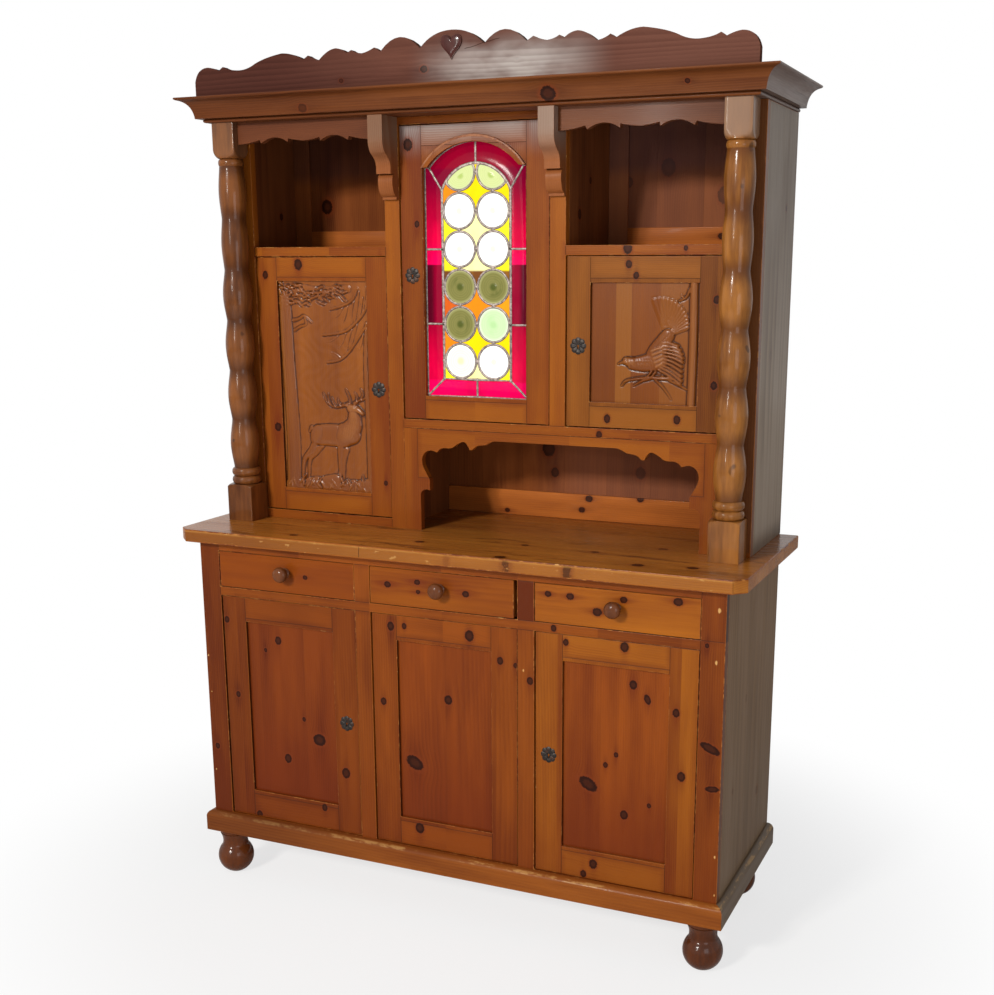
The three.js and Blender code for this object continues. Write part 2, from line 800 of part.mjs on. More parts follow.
function makeHutchBoards() {
  const top = hutchHeight - fit;
  const side = box(0, hutchSideThickness, hutchInside, baseDepth, 0, top);
  place(upper, 'hutch_side_left', side, amberPine, -halfWidth);
  place(upper, 'hutch_side_right', side, amberPine, halfWidth - hutchSideThickness);
  const inner = hutchInnerHalfWidth - fit;
  place(upper, 'hutch_back', box(-inner, inner, backFace + fit, baseDepth, 0, top), innerPine);
  const floorBase = lowRailTop - boardThickness;
  const floor = box(-hutchDividerInner + fit, inner, hutchInside, backFace, floorBase, lowRailTop);
  place(upper, 'hutch_floor', floor, innerPine);
  const leftDivider = box(-hutchDividerOuter, -hutchDividerInner, hutchInside, backFace, 0, top);
  place(upper, 'hutch_divider_left', leftDivider, innerPine);
  const rightDivider = box(hutchDividerInner, hutchDividerOuter, hutchInside, backFace,
    lowRailTop + fit, top);
  place(upper, 'hutch_divider_right', rightDivider, innerPine);
  const shelfBase = shelfRailTop - boardThickness;
  const nicheFloor = box(hutchDividerOuter + fit, inner, hutchInside, backFace, shelfBase, shelfRailTop);
  place(upper, 'niche_floor_right', nicheFloor, amberPine);
  const leftFloor = box(-inner, -hutchDividerOuter - fit, hutchInside, backFace, shelfBase, shelfRailTop);
  place(upper, 'niche_floor_left', leftFloor, amberPine);
  const shelfHalf = hutchDividerInner - fit;
  const shelfFront = hutchSetback + glassShelfSetback;
  const shelf = box(-shelfHalf, shelfHalf, shelfFront, backFace, 0, glassShelfThickness);
  place(upper, 'glass_door_shelf', shelf, innerPine, 0, 0, glassShelfHeight);
}

function makeHutchFrame() {
  const doors = [
    [hutchBays.left, leftDoor],
    [hutchBays.centre, glassDoor],
    [hutchBays.right, rightDoor],
  ];
  const openings = [
    [...hutchBays.left, shelfRailTop, topRailUnderside],
    [...hutchBays.right, shelfRailTop, topRailUnderside],
    [hutchBays.centre[0], hutchBays.right[1], -overrun, openNicheHeight],
    ...doors.map(([bay, door]) => [...bay, door.openingBase, door.openingBase + door.openingHeight]),
  ].map((sizes) => opening(...sizes, hutchSetback, frameThickness));
  const back = hutchSetback + frameThickness;
  const board = box(-halfWidth, halfWidth, hutchSetback, back, 0, hutchHeight - fit);
  const pivots = sockets(doors.map(([, door]) => door));
  place(upper, 'hutch_front_frame', cut(board, [...openings, ...pivots]), amberPine);
}

// Apron: two stiles and a rail, sawn to one scalloped arch over the open niche
function makeApron() {
  const left = hutchBays.centre[0] + fit;
  const right = hutchBays.right[1] - fit;
  const middle = (left + right) / 2;
  const half = (right - left) / 2;
  const archHalf = half - apronStileWidth;
  const at = (sign) => (across, up) => [sign * archHalf * across, apronArchHeight * up];
  const shape = new THREE.Shape();
  shape.moveTo(-half, 0);
  shape.lineTo(-half, openNicheHeight - fit);
  shape.lineTo(half, openNicheHeight - fit);
  shape.lineTo(half, 0);
  shape.lineTo(archHalf, 0);
  trace(shape, reversed(apronShares, [0, 1]), at(1));
  trace(shape, apronShares, at(mirror));
  shape.closePath();
  place(upper, 'niche_apron', fretwork(shape, hutchSetback, apronThickness), amberPine, middle);
}

// Valances: a board with a scalloped lower edge, under the cornice
function makeValances() {
  const inner = hutchMullionX + bracketWidth / 2 + fit;
  const outer = columnX - columnTopBlock / 2 - fit;
  const half = (outer - inner) / 2;
  const at = (sign) => (across, down) => [sign * half * across, -valanceHeight * down];
  const shape = new THREE.Shape();
  shape.moveTo(-half, 0);
  trace(shape, [['L', 1, 0]], at(1));
  shape.lineTo(half, -valanceHeight);
  trace(shape, reversed(valanceShares, [0, valanceMiddleShare]), at(1));
  trace(shape, valanceShares, at(mirror));
  shape.closePath();
  const front = hutchSetback - columnBlock + valanceSetback;
  const valance = fretwork(shape, front, valanceThickness);
  for (const [side, sign] of [['left', -1], ['right', 1]]) {
    place(upper, `valance_${side}`, valance, amberPine, (sign * (inner + outer)) / 2, 0, hutchHeight - fit);
  }
}

// Brackets: a block, an ogee, a step and a scroll, seen from the side
function makeBrackets() {
  const at = (forward, down) => [hutchSetback - fit - bracketReach * forward, -bracketHeight * down];
  const shape = new THREE.Shape();
  shape.moveTo(...at(0, 0));
  shape.lineTo(...at(1, 0));
  trace(shape, bracketShares, at);
  shape.closePath();
  const bracket = run(shape, -bracketWidth / 2, bracketWidth / 2);
  for (const [side, sign] of [['left', -1], ['right', 1]]) {
    place(upper, `bracket_${side}`, bracket, amberPine, sign * hutchMullionX, 0, hutchHeight - fit);
  }
}

// Columns: square blocks with turned shoulders, rings and a wavy shaft between
function ring(radius, depth, base, height) {
  const points = [];
  for (let i = 0; i <= ringSteps; i += 1) {
    const angle = (Math.PI * i) / ringSteps;
    points.push([radius - depth + depth * Math.sin(angle), base + (height * (1 - Math.cos(angle))) / 2]);
  }
  return points;
}

function columnGeometry() {
  const top = hutchHeight - fit;
  const corner = Math.SQRT2 * (columnBlock / 2) + overrun;
  const topCorner = Math.SQRT2 * (columnTopBlock / 2) + overrun;
  const shoulderBase = columnBlockHeight - columnShoulder;
  const block = common(
    box(-columnBlock / 2, columnBlock / 2, -columnBlock / 2, columnBlock / 2, 0, columnBlockHeight),
    turned([
      [0, 0],
      [corner, 0],
      [corner, shoulderBase],
      [(corner + columnBlock / 2) / 2, (shoulderBase + 2 * columnBlockHeight) / 3],
      [columnBlock / 2, columnBlockHeight],
      [0, columnBlockHeight],
    ], 2 * turnedSides),
  );
  const blockFoot = top - columnTopBlockHeight;
  const topBlock = common(
    box(-columnTopBlock / 2, columnTopBlock / 2, -columnTopBlock / 2, columnTopBlock / 2, blockFoot, top),
    turned([
      [0, blockFoot],
      [columnTopBlock / 3, blockFoot],
      [columnTopBlock / 2, blockFoot + columnTopShoulder / 3],
      [topCorner, blockFoot + columnTopShoulder],
      [topCorner, top],
      [0, top],
    ], 2 * turnedSides),
  );
  const shaftBase = columnBlockHeight + 2 * footRingHeight;
  const shaftTop = blockFoot - topRingHeight;
  const pitch = (shaftTop - shaftBase) / bulgeCount;
  const bead = shaftRadius - waistRadius;
  const profile = [
    [0, columnBlockHeight - overrun],
    [waistRadius, columnBlockHeight - overrun],
    ...ring(shaftRadius, bead, columnBlockHeight, footRingHeight),
    ...ring(shaftRadius, bead, columnBlockHeight + footRingHeight, footRingHeight).slice(1),
  ];
  for (let segment = 0; segment < bulgeCount; segment += 1) {
    const radius = segment < bulgeCount - 2 ? shaftRadius : upperBulgeRadius;
    for (let i = 1; i <= bulgeSteps; i += 1) {
      const wave = Math.sin((Math.PI * i) / bulgeSteps);
      const height = shaftBase + pitch * (segment + i / bulgeSteps);
      profile.push([waistRadius + (radius - waistRadius) * wave, height]);
    }
  }
  profile.push(...ring(topRingRadius, topRingRadius - waistRadius, shaftTop, topRingHeight).slice(1));
  profile.push([columnTopBlock / 3, blockFoot + overrun]);
  profile.push([0, blockFoot + overrun]);
  return join([block, turned(profile, turnedSides), topBlock]);
}

function makeColumns() {
  const column = columnGeometry();
  place(upper, 'column_left', column, darkTurning, -columnX, columnY);
  place(upper, 'column_right', column, darkTurning, columnX, columnY);
}

// Cornice: bead, step, cove and fillet, mitred round three sides of a dust board
function corniceSection() {
  const shape = new THREE.Shape();
  const coveBase = beadHeight;
  const filletBase = corniceHeight - corniceFillet;
  const edge = corniceReach - coveToe;
  shape.moveTo(-corniceBandThickness, 0);
  shape.lineTo(-beadHeight / 2, 0);
  shape.absarc(-beadHeight / 2, beadHeight / 2, beadHeight / 2, -Math.PI / 2, Math.PI / 2, false);
  shape.lineTo(coveStep, coveBase);
  shape.quadraticCurveTo(coveStep + coveToe, filletBase - coveToe, edge, filletBase);
  shape.lineTo(corniceReach, filletBase + coveToe / 2);
  shape.lineTo(corniceReach, corniceHeight);
  shape.lineTo(-corniceBandThickness, corniceHeight);
  shape.closePath();
  return shape;
}

function makeCornice() {
  const band = mitredMoulding(corniceSection(), beadSide, beadFront, baseDepth);
  const inner = beadSide - corniceBandThickness + overrun;
  const innerFront = beadFront + corniceBandThickness - overrun;
  const board = box(-inner, inner, innerFront, baseDepth, 0, corniceBoard);
  place(upper, 'cornice', join([band, board]), amberPine, 0, 0, hutchHeight);
}

// Crest board with a carved heart in the middle
function makeCrest() {
  const at = (sign) => (across, up) => [sign * crestHalfWidth * across, crestHeight * up];
  const shape = new THREE.Shape();
  shape.moveTo(-crestHalfWidth, 0);
  shape.lineTo(crestHalfWidth, 0);
  trace(shape, reversed(crestShares, [0, 1]), at(1));
  trace(shape, crestShares, at(mirror));
  shape.closePath();
  const heart = new THREE.Shape();
  const point = (sign, [across, up]) => [sign * heartWidth * across, heartHeight * up];
  heart.moveTo(0, heartHeight * heartDipShare);
  const [lobe, flank] = heartShares;
  heart.bezierCurveTo(...point(1, lobe[0]), ...point(1, lobe[1]), ...point(1, lobe[2]));
  heart.bezierCurveTo(...point(1, flank[0]), ...point(1, flank[1]), 0, 0);
  heart.bezierCurveTo(...point(mirror, flank[1]), ...point(mirror, flank[0]), ...point(mirror, lobe[2]));
  heart.bezierCurveTo(...point(mirror, lobe[1]), ...point(mirror, lobe[0]), 0, heartHeight * heartDipShare);
  const relief = fretwork(heart, -heartRelief, heartRelief + crestThickness / 2);
  relief.translate(0, 0, heartRise);
  const front = beadFront - corniceReach + crestSetback;
  const board = join([fretwork(shape, 0, crestThickness), relief]);
  place(upper, 'crest_board', board, crestPine, 0, front, hutchHeight + corniceHeight + fit);
}

// Glass door: an arched frame under a moulded hood, leaded glass in its rebate
const glassSpring = glassDoor.height - glassTopRail;
const innerCameSpring = glassSpring - innerCameDrop;
const innerCrown = innerCameSpring + innerCameRise;

function hoodGeometry() {
  const innerHalf = hoodHalfWidth - hoodWidth;
  const innerRise = hoodRise - hoodWidth;
  const arc = (half, rise) => {
    const radius = (half * half + rise * rise) / (2 * rise);
    const centre = glassSpring + rise - radius;
    return [centre, radius, Math.atan2(glassSpring - centre, half)];
  };
  const [outerCentre, outer, outerAngle] = arc(hoodHalfWidth, hoodRise);
  const [innerCentre, inner, innerAngle] = arc(innerHalf, innerRise);
  const shape = new THREE.Shape();
  shape.moveTo(innerHalf, glassSpring);
  shape.lineTo(hoodHalfWidth, glassSpring);
  shape.absarc(0, outerCentre, outer, outerAngle, Math.PI - outerAngle, false);
  shape.lineTo(-innerHalf, glassSpring);
  shape.absarc(0, innerCentre, inner, Math.PI - innerAngle, innerAngle, true);
  return fretwork(shape, -hoodProud, hoodProud + overrun);
}

function roundelCame(x, z) {
  const shape = new THREE.Shape();
  const hole = new THREE.Path();
  for (const [path, side] of [[shape, 1], [hole, -1]]) {
    const radius = roundelRadius + (side * cameWidth) / 2;
    for (let i = 0; i < roundelSides; i += 1) {
      const angle = (2 * Math.PI * i) / roundelSides;
      const point = [x + radius * Math.cos(angle), z + radius * Math.sin(angle)];
      if (i === 0) path.moveTo(...point);
      else path.lineTo(...point);
    }
    path.closePath();
  }
  shape.holes.push(hole);
  return fretwork(shape, 0, cameThickness);
}

function cameBar(from, to) {
  const [x0, z0] = from;
  const [x1, z1] = to;
  const length = Math.hypot(x1 - x0, z1 - z0);
  const geometry = box(0, length, 0, cameThickness, -cameWidth / 2, cameWidth / 2);
  geometry.rotateY(-Math.atan2(z1 - z0, x1 - x0));
  geometry.translate(x0, 0, z0);
  return geometry;
}

// A border of came that lies outside the given opening
function archedCame(sideHalf, sill, spring, archHalf, rise) {
  const outer = sideHalf + cameWidth;
  const shape = arched(new THREE.Shape(), outer, sill - cameWidth, spring, outer, rise + cameWidth);
  shape.holes.push(arched(new THREE.Path(), sideHalf, sill, spring, archHalf, rise));
  return fretwork(shape, 0, cameThickness);
}

function cameGeometry() {
  const innerHalf = innerCameHalfWidth - cameWidth / 2;
  const innerSill = innerCameSill + cameWidth / 2;
  const innerRise = innerCameRise - cameWidth / 2;
  const innerFrame = archedCame(innerHalf, innerSill, innerCameSpring, innerHalf, innerRise);
  const half = innerCameHalfWidth;
  const inside = arched(new THREE.Shape(), half, innerCameSill, innerCameSpring, half, innerCameRise);
  const rows = Math.ceil((innerCrown - innerCameSill) / roundelPitch);
  const roundels = [];
  for (let row = 0; row < rows; row += 1) {
    const height = innerCameSill + roundelPitch * (row + 1 / 2);
    roundels.push(roundelCame(-roundelPitch / 2, height), roundelCame(roundelPitch / 2, height));
  }
  const pieces = [
    archedCame(glassHalfWidth, glassSill, glassSpring, archHalfWidth, archRise),
    innerFrame,
    common(join(roundels), fretwork(inside, 0, cameThickness)),
    cameBar([0, glassSill - cameLap], [0, innerCameSill]),
    cameBar([0, innerCrown], [0, glassSpring + archRise + cameLap]),
  ];
  for (const sign of [-1, 1]) {
    const outer = sign * (glassHalfWidth + cameLap);
    const inner = sign * innerCameHalfWidth;
    pieces.push(cameBar([outer, glassSill - cameLap], [inner, innerCameSill]));
    pieces.push(cameBar([sign * (archHalfWidth + cameLap), glassSpring], [inner, innerCameSpring]));
    for (const row of [1, rows - 3]) {
      const height = innerCameSill + roundelPitch * (row + 1 / 2);
      pieces.push(cameBar([outer, height], [inner, height]));
    }
  }
  return join(pieces);
}

function makeGlassDoor() {
  const daylight = arched(new THREE.Path(), glassHalfWidth, glassSill, glassSpring, archHalfWidth, archRise);
  const rebateHalf = glassHalfWidth + glassRebate;
  const rebateSill = glassSill - glassRebate;
  const rebateRise = archRise + 2 * glassRebate;
  const rebate = arched(new THREE.Path(), rebateHalf, rebateSill, glassSpring, rebateHalf, rebateRise);
  const group = doorGroup(upper, glassDoor);
  const frame = frameGeometry(glassDoor, daylight, rebate, glassRecess, [hoodGeometry()]);
  hang(group, glassDoor, 'glass_door_frame', frame, amberPine);
  const cameFront = glassRecess + fit;
  hang(group, glassDoor, 'lead_came', cameGeometry(), leadGrey, cameFront);
  const paneHalf = rebateHalf - fit;
  const paneSill = rebateSill + fit;
  const pane = arched(new THREE.Shape(), paneHalf, paneSill, glassSpring, paneHalf, rebateRise - fit);
  const glass = fretwork(pane, 0, glassThickness);
  hang(group, glassDoor, 'leaded_glass', glass, redGlass, cameFront + cameThickness + fit);
  addEscutcheon(group, glassDoor, hutchDoorStile, 0);
}

function makeHutchDoors() {
  for (const door of [leftDoor, rightDoor]) {
    const group = makePanelDoor(upper, door, hutchDoorStile, hutchDoorRail, hutchDoorRail, redPine);
    addEscutcheon(group, door, hutchDoorStile, door === rightDoor ? panelRebate : 0);
  }
}

makeFeet();
makePlinth();
makeBaseBoards();
makeDrawerDeck();
makeBaseFrame();
makeCountertop();
makeDrawers();
makeBaseDoors();
makeHutchBoards();
makeHutchFrame();
makeApron();
makeValances();
makeBrackets();
makeColumns();
makeCornice();
makeCrest();
makeGlassDoor();
makeHutchDoors();

// The origin stands under the middle of the whole: from the knobs to the back
const foremost = drawerFrontRecess - fit - knobReach;
cabinet.position.y = -(foremost + baseDepth) / 2;

export default cabinet;
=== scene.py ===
"""A knotty pine farmhouse buffet: looks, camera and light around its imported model."""
import math
import bmesh
import bpy
import numpy as np
from mathutils import Euler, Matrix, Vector


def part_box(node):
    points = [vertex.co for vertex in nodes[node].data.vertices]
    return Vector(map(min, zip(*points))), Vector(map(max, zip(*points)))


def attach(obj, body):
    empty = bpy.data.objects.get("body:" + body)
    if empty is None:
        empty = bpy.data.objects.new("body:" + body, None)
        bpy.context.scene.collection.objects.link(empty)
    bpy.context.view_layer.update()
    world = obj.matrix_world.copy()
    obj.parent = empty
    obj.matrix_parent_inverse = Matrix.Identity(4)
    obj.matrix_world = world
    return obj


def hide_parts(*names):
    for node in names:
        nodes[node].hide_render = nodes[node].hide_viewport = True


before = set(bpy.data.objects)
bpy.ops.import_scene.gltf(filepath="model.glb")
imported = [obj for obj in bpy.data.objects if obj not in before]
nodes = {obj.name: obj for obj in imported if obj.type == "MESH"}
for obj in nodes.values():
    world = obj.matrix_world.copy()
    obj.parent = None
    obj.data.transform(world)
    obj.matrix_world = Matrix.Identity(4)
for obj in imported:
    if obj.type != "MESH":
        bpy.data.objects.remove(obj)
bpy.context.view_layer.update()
scene = bpy.context.scene

# Camera, in metres and degrees, from the perspective of the photograph
CAMERA_PLACE = (1.4071, -2.99425, 1.6341)
CAMERA_YAW = 23.662
CAMERA_PITCH = -13.635
CAMERA_ROLL = -0.137
IMAGE_WIDTH = 994
IMAGE_HEIGHT = 995
FOCAL_PIXELS = 1327.92
CENTRE_PIXEL = (516.68, 582.44)
SENSOR = 36.0


def placed(name, data):
    """A new object in the scene."""
    thing = bpy.data.objects.new(name, data)
    scene.collection.objects.link(thing)
    return thing


def make_camera():
    data = bpy.data.cameras.new("camera")
    data.sensor_width = SENSOR
    data.lens = FOCAL_PIXELS * SENSOR / IMAGE_HEIGHT
    data.shift_x = (IMAGE_WIDTH / 2 - CENTRE_PIXEL[0]) / IMAGE_HEIGHT
    data.shift_y = (CENTRE_PIXEL[1] - IMAGE_HEIGHT / 2) / IMAGE_HEIGHT
    camera = placed("camera", data)
    tilt = math.radians(90 + CAMERA_PITCH)
    turn = Euler((0, 0, math.radians(CAMERA_YAW))).to_matrix()
    lean = Euler((tilt, 0, 0)).to_matrix() @ Euler((0, 0, math.radians(CAMERA_ROLL))).to_matrix()
    camera.rotation_euler = (turn @ lean).to_euler()
    camera.location = CAMERA_PLACE
    scene.camera = camera


make_camera()


# Colours, as seen on a screen from 0 to 255, turned into linear light
def tone(red, green, blue):
    def linear(value):
        share = value / 255
        return share / 12.92 if share <= 0.04045 else ((share + 0.055) / 1.055) ** 2.4

    return (linear(red), linear(green), linear(blue), 1.0)


AMBER = tone(149, 82, 22)
GOLD = tone(164, 94, 24)
HONEY = tone(205, 140, 70)
RUSSET = tone(110, 48, 17)
REDWOOD = tone(102, 38, 14)
# Greyish tones of the outer sides: partly a painted reflection of the varnish
SHEEN_GREY_OLIVE = tone(116, 97, 76)
SHEEN_GREY_BROWN = tone(92, 72, 54)
DARK_STAIN = tone(46, 24, 14)
KNOT = tone(28, 12, 7)
HALO = tone(116, 50, 20)
KNOT_HEART = tone(92, 42, 22)
CHIP = tone(218, 170, 102)


# Node trees as arithmetic
class Field:
    """A value, vector or colour inside a node tree, which takes ordinary arithmetic."""

    def __init__(self, tree, socket):
        self.tree = tree
        self.socket = socket

    def math(self, operation, *others):
        node = self.tree.nodes.new("ShaderNodeMath")
        node.operation = operation
        for value, entry in zip((self, *others), node.inputs):
            feed(self.tree, value, entry)
        return Field(self.tree, node.outputs[0])

    def __add__(self, other):
        return self.math("ADD", other)

    def __sub__(self, other):
        return self.math("SUBTRACT", other)

    def __mul__(self, other):
        return self.math("MULTIPLY", other)

    def __truediv__(self, other):
        return self.math("DIVIDE", other)

    def __abs__(self):
        return self.math("ABSOLUTE")

    def smooth(self, low, high):
        """0 at low and below, 1 at high and above, with a soft step between."""
        node = self.tree.nodes.new("ShaderNodeMapRange")
        node.interpolation_type = "SMOOTHSTEP"
        down = low > high
        node.inputs["From Min"].default_value = min(low, high)
        node.inputs["From Max"].default_value = max(low, high)
        node.inputs["To Min"].default_value = 1.0 if down else 0.0
        node.inputs["To Max"].default_value = 0.0 if down else 1.0
        feed(self.tree, self, node.inputs["Value"])
        return Field(self.tree, node.outputs["Result"])


def feed(tree, value, entry):
    if isinstance(value, Field):
        tree.links.new(value.socket, entry)
    else:
        entry.default_value = value


def mix(factor, first, second, blend="MIX"):
    """A colour between first and second."""
    tree = next(value.tree for value in (factor, first, second) if isinstance(value, Field))
    node = tree.nodes.new("ShaderNodeMix")
    node.data_type = "RGBA"
    node.blend_type = blend
    feed(tree, factor, node.inputs[0])
    feed(tree, first, node.inputs[6])
    feed(tree, second, node.inputs[7])
    return Field(tree, node.outputs[2])


def joined(x, y, z):
    tree = x.tree
    node = tree.nodes.new("ShaderNodeCombineXYZ")
    for value, entry in zip((x, y, z), node.inputs):
        feed(tree, value, entry)
    return Field(tree, node.outputs[0])


def noise(place, scale, detail=2.0, roughness=0.5):
    """Soft noise from about 0.2 to 0.8 at a place."""
    node = place.tree.nodes.new("ShaderNodeTexNoise")
    node.inputs["Scale"].default_value = scale
    node.inputs["Detail"].default_value = detail
    node.inputs["Roughness"].default_value = roughness
    feed(place.tree, place, node.inputs["Vector"])
    return Field(place.tree, node.outputs["Fac"])


def hypot(first, second):
    return (first * first + second * second).math("SQRT")


def between(value, low, high, soft=0.002):
    """1 from low to high, with soft ends."""
    return value.smooth(low, low + soft) * value.smooth(high + soft, high)


def gathered(total, value, operation):
    """A running maximum, minimum or sum, which starts out as None."""
    return value if total is None else total.math(operation, value)


def streaked(grain, light, dark, share=0.5):
    """A stain that the grain shows through."""
    return mix(grain * share, light, dark)


def lottery(value):
    """A number from 0 to 1 that is fixed for each whole value."""
    node = value.tree.nodes.new("ShaderNodeTexWhiteNoise")
    node.noise_dimensions = "1D"
    feed(value.tree, value, node.inputs["W"])
    return Field(value.tree, node.outputs["Value"])


class Finish:
    """A material under way, with the place of the point it colours."""

    def __init__(self, name):
        self.material = bpy.data.materials.new(name)
        self.material.use_nodes = True
        self.tree = self.material.node_tree
        self.shader = self.tree.nodes["Principled BSDF"]
        coordinates = self.tree.nodes.new("ShaderNodeTexCoord")
        self.place = Field(self.tree, coordinates.outputs["Object"])
        split = self.tree.nodes.new("ShaderNodeSeparateXYZ")
        feed(self.tree, self.place, split.inputs[0])
        self.x, self.y, self.z = (Field(self.tree, output) for output in split.outputs)

    def set(self, **values):
        for name, value in values.items():
            entry = name.replace("_", " ").title().replace("Ior", "IOR")
            feed(self.tree, value, self.shader.inputs[entry])

    def bump(self, height, distance, strength=1.0):
        node = self.tree.nodes.new("ShaderNodeBump")
        node.inputs["Strength"].default_value = strength
        node.inputs["Distance"].default_value = distance
        feed(self.tree, height, node.inputs["Height"])
        self.tree.links.new(node.outputs["Normal"], self.shader.inputs["Normal"])

    def stored(self, name):
        """A value that the mesh holds for each of its points."""
        node = self.tree.nodes.new("ShaderNodeAttribute")
        node.attribute_name = name
        return Field(self.tree, node.outputs["Fac"])


# Pine: rings round a pith behind the board, knots that the grain flows round, boards with their own tone
RING_PITCH = 0.0052
PITH_DEPTH = 0.035
KNOT_FLOW = 0.62
KNOT_SCALE = 0.86


def joined_boards(finish, zones, across, along, number, lines):
    """Lays out the boards within a piece. Gives the ways with the grain turned in some of them, the
    boards' numbers, the joints between them, the grime and painted shade near the joints and how much darker
    each is."""
    tint = None
    grime_and_shade = None
    for order, (x0, x1, z0, z1, turned, darker) in enumerate(zones):
        reach_x = abs(finish.x - (x0 + x1) / 2) - (x1 - x0) / 2
        reach_z = abs(finish.z - (z0 + z1) / 2) - (z1 - z0) / 2
        reach = reach_x.math("MAXIMUM", reach_z)
        within = reach.math("LESS_THAN", 0.0)
        if turned:
            turned_across = across + (finish.z - across) * within
            along = along + (finish.x - along) * within
            across = turned_across
        number = number + within * (order * 3.7 + 11)
        lines = lines.math("MAXIMUM", abs(reach).smooth(0.0011, 0.0003))
        near = abs(reach).smooth(0.016, 0.001)
        grime_and_shade = gathered(grime_and_shade, near, "MAXIMUM")
        tint = gathered(tint, within * darker, "ADD")
    return across, along, number, lines, grime_and_shade, tint


def flow_round(knots, face, flow):
    """Bends the grain round the knots. Gives the bent way, the reach from the nearest knot as a share
    of its radius, and the darker wood above and below them."""
    core_reach = None
    flare = None
    for knot_across, knot_along, size, *shape in knots:
        stretch, tilt = shape or (1.2, 0.0)
        radius = size * KNOT_SCALE
        side = face[0] - knot_across
        up = face[1] - knot_along
        cosine, sine = math.cos(math.radians(tilt)), math.sin(math.radians(tilt))
        turned_side = side * cosine + up * sine
        turned_up = (up * cosine - side * sine) / stretch
        distance = hypot(turned_side, turned_up) / radius
        pull = (distance * distance * -0.22).math("EXPONENT") * KNOT_FLOW
        flow = flow - side * pull
        long_side = side / (radius * 1.1)
        long_up = up / (radius * 4.5)
        smear = ((long_side * long_side + long_up * long_up) * -1.0).math("EXPONENT")
        flare = gathered(flare, smear, "MAXIMUM")
        core_reach = gathered(core_reach, distance, "MINIMUM")
    return flow, core_reach, flare


def knotted(finish, core_reach, cloud, colour, height):
    """Colours the knots and their halos, and sinks or raises them a little."""
    crackle = noise(finish.place, 240.0, 3.0, 0.6) - 0.5
    ragged = core_reach + cloud * 0.8 + crackle * 0.6
    colour = mix(ragged.smooth(1.75, 1.0) * 0.55, colour, HALO)
    colour = mix(ragged.smooth(1.12, 0.95) * 0.92, colour, KNOT)
    colour = mix(ragged.smooth(0.78, 0.4) * 0.3, colour, KNOT_HEART)
    height = height - ragged.smooth(1.15, 0.95) * 0.6 + ragged.smooth(0.85, 0.5) * 0.5
    return colour, height


def chipped(chips, face, raggedness, colour, height):
    """Takes the varnish off in small chips with ragged edges."""
    for across, along, radius in chips:
        side = (face[0] - across) / radius
        up = (face[1] - along) / (radius * 1.6)
        distance = hypot(side, up) + raggedness[0] * 1.6 + raggedness[1] * 1.2
        worn = distance.smooth(1.1, 0.6)
        colour = mix(worn * 0.75, colour, CHIP)
        height = height - worn
    return colour, height


